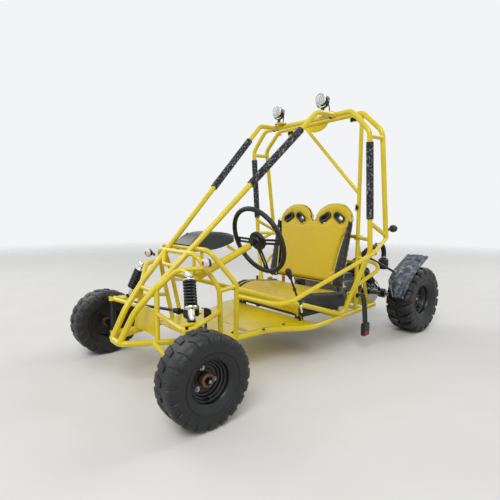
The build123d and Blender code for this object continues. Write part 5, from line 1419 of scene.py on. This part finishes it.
def slot_points(x, half_span, radius, steps=12):
    """The outline of the belt case, a slot with round ends, at a distance from the middle of the car."""
    points = []
    for way, first in ((1, -90), (-1, 90)):
        for step in range(steps + 1):
            angle = math.radians(first + step * 180 / steps)
            points.append(at(x, CASE_STATION + way * half_span + radius * math.cos(angle),
                             CASE_HEIGHT + radius * math.sin(angle)))
    return points


skin(drawing, [slot_points(139.5, CASE_HALF_SPAN, 44), slot_points(146, CASE_HALF_SPAN, 42),
               slot_points(149, CASE_HALF_SPAN, 37), slot_points(149.5, CASE_HALF_SPAN, 30)])
for rib in range(-4, 5):
    station = CASE_STATION + rib * 14
    outline = [at(148, station - 1.6, CASE_HEIGHT - 26), at(148, station + 1.6, CASE_HEIGHT - 26),
               at(148, station + 1.6, CASE_HEIGHT + 26), at(148, station - 1.6, CASE_HEIGHT + 26)]
    plate(drawing, outline, (4, 0, 0))
fan = at(-150, 1270, 280)
for radius in (20, 34, 48):
    loop = ((radius - 2, -0.5), (radius + 2, -0.5), (radius + 2, 3), (radius - 2, 3))
    turned(drawing, loop, fan, (-1, 0, 0), 40, closed=True)
turned(drawing, ((0, -0.5), (9, -0.5), (9, 4), (0, 5)), fan, (-1, 0, 0), 24)
for spoke in range(8):
    angle = math.tau * spoke / 8
    out = Vector((0, math.cos(angle), math.sin(angle)))
    strap(drawing, [fan + out * 8 * MM - Vector((1.5 * MM, 0, 0)),
                    fan + out * 57 * MM - Vector((1.5 * MM, 0, 0))],
          out.cross(Vector((1, 0, 0))), 5, 3)
faces = finished_from(drawing, 0, 0)
for way in (1, -1):
    for step in range(4):
        angle = math.radians(-67.5 * way + (90 - 90 * way) + step * 45)
        spot = at(139.8, CASE_STATION + way * CASE_HALF_SPAN + 46.5 * math.cos(angle),
                  CASE_HEIGHT + 46.5 * math.sin(angle))
        bolt(drawing, spot, (1, 0, 0), 7)
for station in (1215, 1335):
    for x in (-76, -44, 44, 76):
        bolt(drawing, at(x, station, 215), (0, 0, 1), 9)
faces = finished_from(drawing, faces, 1)
turned(drawing, ((0, 0), (12, 0), (13, 4), (13, 9), (10, 12), (0, 12)), at(-60, 1320, 360), (0, 0, 1), 20)
finished_from(drawing, faces, 2)
piece("engine_trim", drawing, "chassis", (cast_alloy, zinc_plate, moulded_black), 30)

# %% [markdown]
# The carburettor is a turned casting with a float bowl. A corrugated rubber hose brings it air from a
# can filter. The hose is a rod whose radius rises and falls, as it is moulded in rings so it can bend.

# %% Carburettor, hose and filter
drawing = bmesh.new()
port = at(40, 1275, 392.5)
hose_low = at(60, 1350, 393)
intake = (hose_low - port).normalized()
body = ((0, 12), (15, 12), (17, 20), (24, 22), (25, 30), (21, 34), (21, 52), (25, 54), (25, 60), (17, 62),
        (0, 62))
turned(drawing, body, port, intake, 32)
bowl = ((0, -36), (13, -36), (17, -31), (18, -14), (14, -12), (14, 18), (18, 20), (18, 27), (10, 30), (0, 30))
turned(drawing, bowl, port + intake * 42 * MM, (0, 0, 1), 28)
faces = finished_from(drawing, 0, 0)
route = [port + intake * 60 * MM, hose_low, at(86, 1372, 410), at(120, 1393, 444), at(155, 1413, 482),
         at(174, 1428, 506), at(184, 1452, 517), at(185, 1490, 523), at(185, 1535, 530), at(185, 1562, 530),
         at(185, 1582, 520), at(185, 1596, 496), at(185, 1600, 470), at(185, 1600, 438)]
smooth = eased(route, 8)
hose = []
for i, point in enumerate(smooth):
    hose.append(15.2 + (0.8 if i % 2 else 0.0))
rod(drawing, smooth, hose, 24)
faces = finished_from(drawing, faces, 1)
can = ((0, 2), (24, 2), (26, -2), (31, -6), (32, -12), (32, -58), (30, -66), (24, -70), (0, -70))
turned(drawing, can, at(185, 1600, 440), (0, 0, 1), 40)
for pleat in range(3):
    loop = ((31.5, -22 - pleat * 12), (33, -20 - pleat * 12), (31.5, -18 - pleat * 12))
    turned(drawing, loop, at(185, 1600, 440), (0, 0, 1), 40, closed=True)
faces = finished_from(drawing, faces, 2)
for place, axis in ((hose_low - intake * 6 * MM, intake), (at(185, 1600, 452), Vector((0, 0, 1))),
                    (at(185, 1510, 526.3), Vector((0, 1, 0.15)))):
    turned(drawing, ((16, -5), (17.6, -5), (17.6, 5), (16, 5)), place, axis, 32, closed=True)
    across, over = axes_of(axis)
    turned(drawing, ((0, -6), (3.5, -6), (3.5, 8), (0, 8)), Vector(place) + over * 19 * MM, across, 12)
finished_from(drawing, faces, 3)
piece("intake_with_filter", drawing, "chassis", (cast_alloy, grip_rubber, moulded_black, zinc_plate), 40,
      ("intake_hose",))

# %% [markdown]
# The silencer is a rolled steel can with pressed ends and three bands, a pipe from the cylinder and a
# bent tail pipe. All of it is round, so it is turned profiles and swept rods.

# %% Silencer
drawing = bmesh.new()
can_start = at(-85, 1490, 340)
can = ((0, 0), (30, 0), (42, 4), (45, 11), (45, 209), (42, 216), (30, 220), (0, 220))
turned(drawing, can, can_start, (1, 0, 0), 48)
for along in (26, 110, 194):
    turned(drawing, ((44.5, along - 4), (46.5, along - 3), (46.5, along + 3), (44.5, along + 4)), can_start,
           (1, 0, 0), 48, closed=True)
pipe = [at(0, 1356, 340), at(0, 1378, 340), at(0, 1410, 340), at(0, 1449, 340)]
rod(drawing, pipe, 15.5, 24)
turned(drawing, ((16, -6), (24, -6), (24, 0), (16, 0)), at(0, 1366, 340), (0, 1, 0), 24, closed=True)
tail = [at(132, 1490, 340), at(138, 1492, 338), at(141, 1500, 330), at(141, 1514, 318), at(141, 1530, 308)]
rod(drawing, eased(tail, 5), 11, 20)
faces = finished_from(drawing, 0, 0)
for along in (40, 180):
    for angle in (40, 140):
        out = Vector((0, math.cos(math.radians(angle)), math.sin(math.radians(angle))))
        bolt(drawing, can_start + Vector((along * MM, 0, 0)) + out * 45 * MM, out, 8)
finished_from(drawing, faces, 1)
piece("silencer_dressed", drawing, "chassis", (black_paint, zinc_plate), 40, ("silencer",))

# %% [markdown]
# The drive line at the back: one live axle, a toothed sprocket with lightening holes, a drilled brake
# disc, bolted hub flanges, a roller chain and a caliper. The chain's links are placed one pitch apart
# along its loop: two straight runs and an arc round each sprocket.

# %% Rear axle
AXLE_HEIGHT = 203
SPROCKET_X, SPROCKET_RADIUS, DISC_X, DISC_RADIUS = -100, 82, 95, 80
axle_middle = at(0, WHEELBASE, AXLE_HEIGHT)
flange_low, flange_high = (Vector(corner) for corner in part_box("rear_axle"))
axle_end = (flange_high.x - flange_low.x) / 2 / MM


def round_plate(drawing, place, radii, holes, thickness):
    """A flat wheel across the axle: a rim from a list of radii, and holes as (angle, radius, size)."""
    count = len(radii)
    outline = []
    for step, radius in enumerate(radii):
        angle = math.tau * step / count
        outline.append(place + Vector((-thickness / 2, radius * math.cos(angle), radius * math.sin(angle)))
                       * MM)
    loops = []
    for angle, radius, size in holes:
        middle = place + Vector((-thickness / 2, radius * math.cos(angle), radius * math.sin(angle))) * MM
        loops.append([middle + Vector((0, size * math.cos(a), size * math.sin(a))) * MM
                      for a in (math.tau * step / 14 for step in range(14))])
    flat = prism(outline, loops, (thickness, 0, 0))
    mesh = bpy.data.meshes.new("flat")
    flat.to_mesh(mesh)
    flat.free()
    drawing.from_mesh(mesh)


drawing = bmesh.new()
shaft = ((0, -axle_end), (9, -axle_end), (10, -axle_end + 1.5), (10, -390), (12.5, -390), (12.5, 390),
         (10, 390), (10, axle_end - 1.5), (9, axle_end), (0, axle_end))
turned(drawing, shaft, axle_middle, (1, 0, 0), 32)
for side in (1, -1):
    for thread in range(6):
        along = side * (396 + thread * 2.4)
        turned(drawing, ((9.9, along - 0.8), (10.5, along), (9.9, along + 0.8)), axle_middle, (1, 0, 0), 24,
               closed=True)
faces = finished_from(drawing, 0, 0)
teeth = [SPROCKET_RADIUS - 0.5 if step % 6 in (2, 3) else SPROCKET_RADIUS - 3.4
         if step % 6 in (1, 4) else SPROCKET_RADIUS - 7
         for step in range(41 * 6)]
windows = [(math.tau * (step + 0.5) / 6, 55, 13) for step in range(6)]
round_plate(drawing, axle_middle + Vector((SPROCKET_X * MM, 0, 0)), teeth, windows, 4.5)
faces = finished_from(drawing, faces, 1)
drilled = [(math.tau * (step + 0.3 * row) / 12, 52 + row * 9, 3.6) for row in range(3) for step in range(12)]
round_plate(drawing, axle_middle + Vector((DISC_X * MM, 0, 0)), [DISC_RADIUS] * 96, drilled, 4)
faces = finished_from(drawing, faces, 1)
for place_x, way in ((SPROCKET_X, 1), (DISC_X, -1)):
    hub = ((12.6, 2.4), (34, 2.4), (34, 8), (22, 10), (21, 24), (12.6, 24))
    turned(drawing, hub, axle_middle + Vector((place_x * MM, 0, 0)), (way, 0, 0), 40, closed=True)
for side in (1, -1):
    face = side * 387
    flange = ((12.6, 0), (34, 0), (34, 8), (24, 9), (22, 22), (12.6, 22))
    turned(drawing, flange, axle_middle + Vector(((face - side * 1) * MM, 0, 0)), (-side, 0, 0), 40,
           closed=True)
faces = finished_from(drawing, faces, 2)
for place_x, way in ((SPROCKET_X, 1), (DISC_X, -1)):
    ring_of(drawing, rim_bolt(8, 28, 8), 4, 0.4, zinc_plate, axle_middle + Vector((place_x * MM, 0, 0)), way)
finished_from(drawing, faces, 3)
piece("live_axle", drawing, "rear_axle", (turned_steel, zinc_plate, black_paint, zinc_plate), 30,
      ("rear_axle",))
print("sprocket teeth", len(teeth) // 6)

# %% [markdown]
# A roller chain runs from the engine's small sprocket to the axle's large one. Its links repeat at the
# pitch of 12.7 mm along two straight runs and two arcs, so their places come from one function.

# %% Chain, output sprocket and caliper
PITCH, RUN_RADIUS, SMALL_RADIUS = 12.7, 87.5, 33
DRIVE_STATION, DRIVE_HEIGHT = 1385, 262
big = Vector((WHEELBASE, AXLE_HEIGHT))
small = Vector((DRIVE_STATION, DRIVE_HEIGHT))
centres = (big - small).length
heading = math.atan2(big.y - small.y, big.x - small.x)
lean = math.acos((RUN_RADIUS - SMALL_RADIUS) / centres)
run = math.sqrt(centres ** 2 - (RUN_RADIUS - SMALL_RADIUS) ** 2)
big_arc, small_arc = 2 * (math.pi - lean), 2 * lean
loop_length = 2 * run + big_arc * RUN_RADIUS + small_arc * SMALL_RADIUS
links = round(loop_length / PITCH)


def on_chain(distance):
    """The station and height of a place along the chain's loop, measured from the big sprocket's top."""
    turn_big, turn_small = heading + math.pi - lean, heading + math.pi + lean
    distance %= loop_length
    if distance < big_arc * RUN_RADIUS:
        angle = turn_big - distance / RUN_RADIUS
        return big + Vector((math.cos(angle), math.sin(angle))) * RUN_RADIUS
    distance -= big_arc * RUN_RADIUS
    low_from = big + Vector((math.cos(turn_small), math.sin(turn_small))) * RUN_RADIUS
    low_to = small + Vector((math.cos(turn_small), math.sin(turn_small))) * SMALL_RADIUS
    if distance < run:
        return low_from.lerp(low_to, distance / run)
    distance -= run
    if distance < small_arc * SMALL_RADIUS:
        angle = turn_small - distance / SMALL_RADIUS
        return small + Vector((math.cos(angle), math.sin(angle))) * SMALL_RADIUS
    distance -= small_arc * SMALL_RADIUS
    high_from = small + Vector((math.cos(turn_big), math.sin(turn_big))) * SMALL_RADIUS
    high_to = big + Vector((math.cos(turn_big), math.sin(turn_big))) * RUN_RADIUS
    return high_from.lerp(high_to, distance / run)


drawing = bmesh.new()
for link in range(links):
    here, there = (on_chain(loop_length * (link + offset) / links) for offset in (0, 1))
    step = (there - here).normalized()
    aside = Vector((-step.y, step.x))
    shape = [(-3.6, -2.6), (-1.5, -4.2), (2.5, -3.8), (6.3, -3.1), (10.2, -3.8), (14.2, -4.2), (16.3, -2.6)]
    outline = shape + [(s, -h) for s, h in reversed(shape)]
    gap = 4.6 if link % 2 else 6.4
    for way in (1, -1):
        corners = []
        for s, h in outline:
            spot = here + step * s + aside * h
            corners.append(at(SPROCKET_X + way * gap, spot.x, spot.y))
        plate(drawing, corners, (way * 1.4, 0, 0))
    spot = here
    turned(drawing, ((0, -8.2), (2, -8.2), (2, -4.2), (3.9, -4.2), (3.9, 4.2), (2, 4.2), (2, 8.2), (0, 8.2)),
           at(SPROCKET_X, spot.x, spot.y), (1, 0, 0), 10)
faces = finished_from(drawing, 0, 0)
output = at(SPROCKET_X, DRIVE_STATION, DRIVE_HEIGHT)
small_teeth = [SMALL_RADIUS - 5.5 if step % 6 in (2, 3) else SMALL_RADIUS - 7
               if step % 6 in (1, 4) else SMALL_RADIUS - 11
               for step in range(15 * 6)]
round_plate(drawing, output, small_teeth, [], 5)
shaft = [output + Vector((-14, 0, 0)) * MM, at(121, DRIVE_STATION, DRIVE_HEIGHT)]
rod(drawing, shaft, 9, 24)
for x in (-60, 60):
    turned(drawing, ((9.2, -9), (22, -9), (22, 9), (9.2, 9)), at(x, DRIVE_STATION, DRIVE_HEIGHT), (1, 0, 0),
           32, closed=True)
    outline = [at(x - 5, 1359, 240), at(x - 5, 1359, 290), at(x - 5, 1385, 284), at(x - 5, 1385, 240)]
    plate(drawing, outline, (10, 0, 0))
faces = finished_from(drawing, faces, 1)
bolt(drawing, output + Vector((-13, 0, 0)) * MM, (-1, 0, 0), 13)
finished_from(drawing, faces, 2)
piece("chain_drive", drawing, "chassis", (turned_steel, cast_alloy, zinc_plate), 30)
print("chain links", links, "length mm", round(loop_length))

drawing = bmesh.new()
grip = Vector((math.cos(math.radians(128)), math.sin(math.radians(128))))
spot = big + grip * 66
for way in (1, -1):
    block = []
    for along_x, half_s, half_h in ((7.5, 20, 14), (20, 20, 14), (26, 15, 10)):
        ring_points = []
        for s, h in ((-half_s, -half_h), (half_s, -half_h), (half_s, half_h), (-half_s, half_h)):
            around = spot + Vector((-grip.y, grip.x)) * s + grip * h
            ring_points.append(at(DISC_X + way * along_x, around.x, around.y))
        block.append(ring_points)
    skin(drawing, block)
over = big + grip * 93
bridge = []
for s, h in ((-20, -5), (20, -5), (20, 5), (-20, 5)):
    around = over + Vector((-grip.y, grip.x)) * s + grip * h
    bridge.append(at(DISC_X - 20, around.x, around.y))
plate(drawing, bridge, (40, 0, 0))
for way in (1, -1):
    cheek = []
    for s, h in ((-16, -18), (16, -18), (16, 5), (-16, 5)):
        around = over + Vector((-grip.y, grip.x)) * s + grip * h
        cheek.append(at(DISC_X + way * 14, around.x, around.y))
    plate(drawing, cheek, (way * 6, 0, 0))
faces = finished_from(drawing, 0, 0)
hold = big + grip * 84
rod(drawing, [at(DISC_X + 18, hold.x, hold.y), at(146, hold.x + 8, hold.y - 14),
              at(168, hold.x + 26, hold.y - 44)], 7, 14)
faces = finished_from(drawing, faces, 1)
for s in (-12, 12):
    around = over + Vector((-grip.y, grip.x)) * s
    bolt(drawing, at(DISC_X + 20.2, around.x, around.y), (1, 0, 0), 8)
faces = finished_from(drawing, faces, 2)
line = [at(DISC_X - 10, over.x, over.y + 2), at(84, over.x - 12, over.y + 12),
        at(100, over.x - 40, over.y + 8), at(160, 1530, 252), at(170, 1500, 248), at(170, 1475, 246)]
rod(drawing, eased(line, 6), 3, 10)
finished_from(drawing, faces, 3)
piece("brake_caliper", drawing, "chassis", (cast_alloy, black_paint, zinc_plate, grip_rubber), 30)

# %% [markdown]
# The axle turns in two bearings. Each has a cap on both sides, and four small bolts on the outer one.
# The caps are turned rings that leave the axle free.

# %% Axle bearings
drawing = bmesh.new()
for side in (1, -1):
    for way in (1, -1):
        cap = ((14, 0), (27, 0), (28, 2), (22, 5), (14, 5))
        turned(drawing, cap, at(side * 170 + way * 18.1, WHEELBASE, AXLE_HEIGHT), (way, 0, 0), 36,
               closed=True)
faces = finished_from(drawing, 0, 0)
for side in (1, -1):
    for angle in (45, 135, 225, 315):
        out = Vector((0, math.cos(math.radians(angle)), math.sin(math.radians(angle))))
        bolt(drawing, at(side * 170 + side * 18.2, WHEELBASE, AXLE_HEIGHT) + out * 24.4 * MM, (side, 0, 0), 5)
finished_from(drawing, faces, 1)
piece("axle_bearings", drawing, "chassis", (turned_steel, zinc_plate), 30)

# %% [markdown]
# What is bolted or welded to the cage: gusset plates at the roof, belt anchors with black bolts,
# brackets for the seat, bolts through the floor pan, and the weld beads where tubes meet. A weld is a
# row of small overlapping ripples, so a bead is a ring whose radius and width rise and fall.

# %% Plates and brackets
drawing = bmesh.new()


def tab(place, along, up, half_along, half_up, thickness, round_by=8):
    """A plate with round corners, centred on a place, lying in the plane of two directions."""
    along, up = Vector(along).normalized(), Vector(up).normalized()
    through = along.cross(up).normalized()
    points = []
    for sign_a, sign_u, first in ((1, 1, 0), (-1, 1, 90), (-1, -1, 180), (1, -1, 270)):
        for step in range(5):
            angle = math.radians(first + step * 22.5)
            reach = sign_a * (half_along - round_by) + round_by * math.cos(angle)
            rise_by = sign_u * (half_up - round_by) + round_by * math.sin(angle)
            points.append(place + (along * reach + up * rise_by - through * thickness / 2) * MM)
    plate(drawing, points, through * thickness)


gusset = [at(84 * math.cos(turn), 1112, 1256 - 46 * math.sin(turn)) for turn in
          (math.pi * step / 24 for step in range(25))]
plate(drawing, gusset, (0, 4, 0))
tab(at(264, 1108, 1241), (1, 0, 0), (0, 0.2, -1), 24, 18, 4)
tab(at(-205, 1108, 1238), (1, 0, 0), (0, 0.2, -1), 26, 20, 4)
for side in (1, -1):
    tab(at(side * 236, 735, 204), (1, 0, 0), (0, 0, 1), 18, 14, 4, 5)
    tab(at(side * 236, 1040, 204), (1, 0, 0), (0, 0, 1), 18, 14, 4, 5)
    tab(at(side * 384, 1016, 300), (0, 1, 0), (0, 0, 1), 16, 20, 4, 7)
    tab(at(side * 318, 1046, 286), (0, 1, 0), (0, 0, 1), 22, 24, 4, 8)
tab(at(300, 1112, 765), (0, 1, 0), (0, 0, 1), 16, 20, 4, 7)
faces = finished_from(drawing, 0, 0)
bolt(drawing, at(302.2, 1108, 765), (1, 0, 0), 13)
for side in (1, -1):
    for x in (-11, 11):
        bolt(drawing, at((264 if side == 1 else -205) + x, 1105.6, 1236), (0, -1, -0.1), 11)
    clamp = ((12, -8), (15, -8), (16, -6), (16, 6), (15, 8), (12, 8))
    turned(drawing, clamp, at(195 if side == 1 else -240, 1001, 1250), (1, 0, 0), 32, closed=True)
    bolt(drawing, at(side * 386.2, 1016, 304), (side, 0, 0), 13)
    bolt(drawing, at(side * 320.2, 1040, 292), (side, 0, 0), 12)
    for station in (735, 1040):
        bolt(drawing, at(side * 236, station - 2.2, 204), (0, -1, 0), 9)
    for station in (205, 330, 470, 600, 715):
        bolt(drawing, at(side * 258 if station > 400 else side * 205, station, 195), (0, 0, 1), 8)
finished_from(drawing, faces, 1)
piece("plates_and_anchors", drawing, "chassis", (powder_yellow, black_paint), 30)

# %% [markdown]
# Six welds on each side show at the joints of the cage. Each is one rippled ring under the powder coat.

# %% Weld beads
drawing = bmesh.new()


def weld(place, axis, radius, size=3.2):
    """A rippled ring round a tube where it meets another; radius and size in millimetres."""
    route, sizes = [], []
    across, over = axes_of(axis)
    for step in range(48):
        angle = math.tau * step / 48
        ripple = math.sin(angle * 12)
        route.append(Vector(place) + (across * math.cos(angle) + over * math.sin(angle))
                     * (radius + 0.4 * ripple) * MM)
        sizes.append(size + 0.5 * ripple)
    rod(drawing, route, sizes, 8, closed=True)


for side in (1, -1):
    weld(at(side * 216, 990, 1250), (0.02 * side, 1, 0.02), 13)
    weld(at(side * 288, 1150, 196), (side * 0.1, 0, 1), 11)
    weld(at(side * 310, 1113, 1240), (0, 0, 1), 11)
    weld(at(side * 464, 1044, 534), (side * -0.1, 1, 0.2), 10)
    weld(at(side * 235, 1211, 586), (side * 0.1, -0.1, 1), 10)
    weld(at(side * 165, 165, 215), (side * 0.1, 0, 1), 10)
piece("weld_beads", drawing, "chassis", powder_yellow, 60)

# %% [markdown]
# The studio: a pale floor that fades into a pale surround, a soft key from the front left and a
# wide fill from above. The surround shows white to the camera and to reflections only.

# %% Floor, light and surround
FLOOR_RADIUS = 9.0
floor_mesh = bpy.data.meshes.new("floor")
drawing = bmesh.new()
bmesh.ops.create_circle(drawing, cap_ends=True, segments=96, radius=FLOOR_RADIUS)
drawing.to_mesh(floor_mesh)
drawing.free()
floor = bpy.data.objects.new("floor", floor_mesh)
bpy.context.scene.collection.objects.link(floor)
floor_finish, tree, shader, place = finish(
    "studio_floor", 0.8, (3.0, 4.0, 0.55), ((0.3, "DEDDDA"), (0.7, "E2E1DE")), Specular_IOR_Level=0.2
)
distance = add(tree, "ShaderNodeVectorMath", {0: place}, operation="LENGTH").outputs["Value"]
fade = add(tree, "ShaderNodeMapRange", {"Value": distance, "From Min": 3.2, "From Max": FLOOR_RADIUS - 0.5})
clear = add(tree, "ShaderNodeBsdfTransparent")
blend = add(tree, "ShaderNodeMixShader", {"Fac": fade.outputs["Result"]})
tree.links.new(shader.outputs["BSDF"], blend.inputs[1])
tree.links.new(clear.outputs["BSDF"], blend.inputs[2])
tree.links.new(blend.outputs["Shader"], tree.nodes["Material Output"].inputs["Surface"])
floor.data.materials.append(floor_finish)

world = bpy.data.worlds.new("surround")
world.use_nodes = True
tree = world.node_tree
background = tree.nodes["Background"]
background.inputs["Color"].default_value = paint("F3F4F5")
rays = add(tree, "ShaderNodeLightPath")
seen = add(tree, "ShaderNodeMath", {0: rays.outputs["Is Camera Ray"], 1: rays.outputs["Is Glossy Ray"]},
           operation="MAXIMUM")
seen_all = add(tree, "ShaderNodeMath", {0: seen.outputs[0], 1: rays.outputs["Is Transmission Ray"]},
               operation="MAXIMUM")
strength = add(tree, "ShaderNodeMapRange", {"Value": seen_all.outputs[0], "To Min": 0.5, "To Max": 1.0})
tree.links.new(strength.outputs["Result"], background.inputs["Strength"])
bpy.context.scene.world = world

LAMPS = (
    ("key", (2.6, -3.4, 4.2), 2.6, 150.0),
    ("fill", (-3.8, -1.6, 3.2), 3.0, 60.0),
    ("back", (0.8, 4.2, 3.6), 3.0, 80.0),
)
for name, spot, width, power in LAMPS:
    data = bpy.data.lights.new(name, "AREA")
    data.size = width
    data.energy = power
    lamp = bpy.data.objects.new(name, data)
    lamp.location = spot
    lamp.rotation_mode = "QUATERNION"
    lamp.rotation_quaternion = (Vector((0, 0, 0.5)) - Vector(spot)).to_track_quat("-Z", "Y")
    bpy.context.scene.collection.objects.link(lamp)
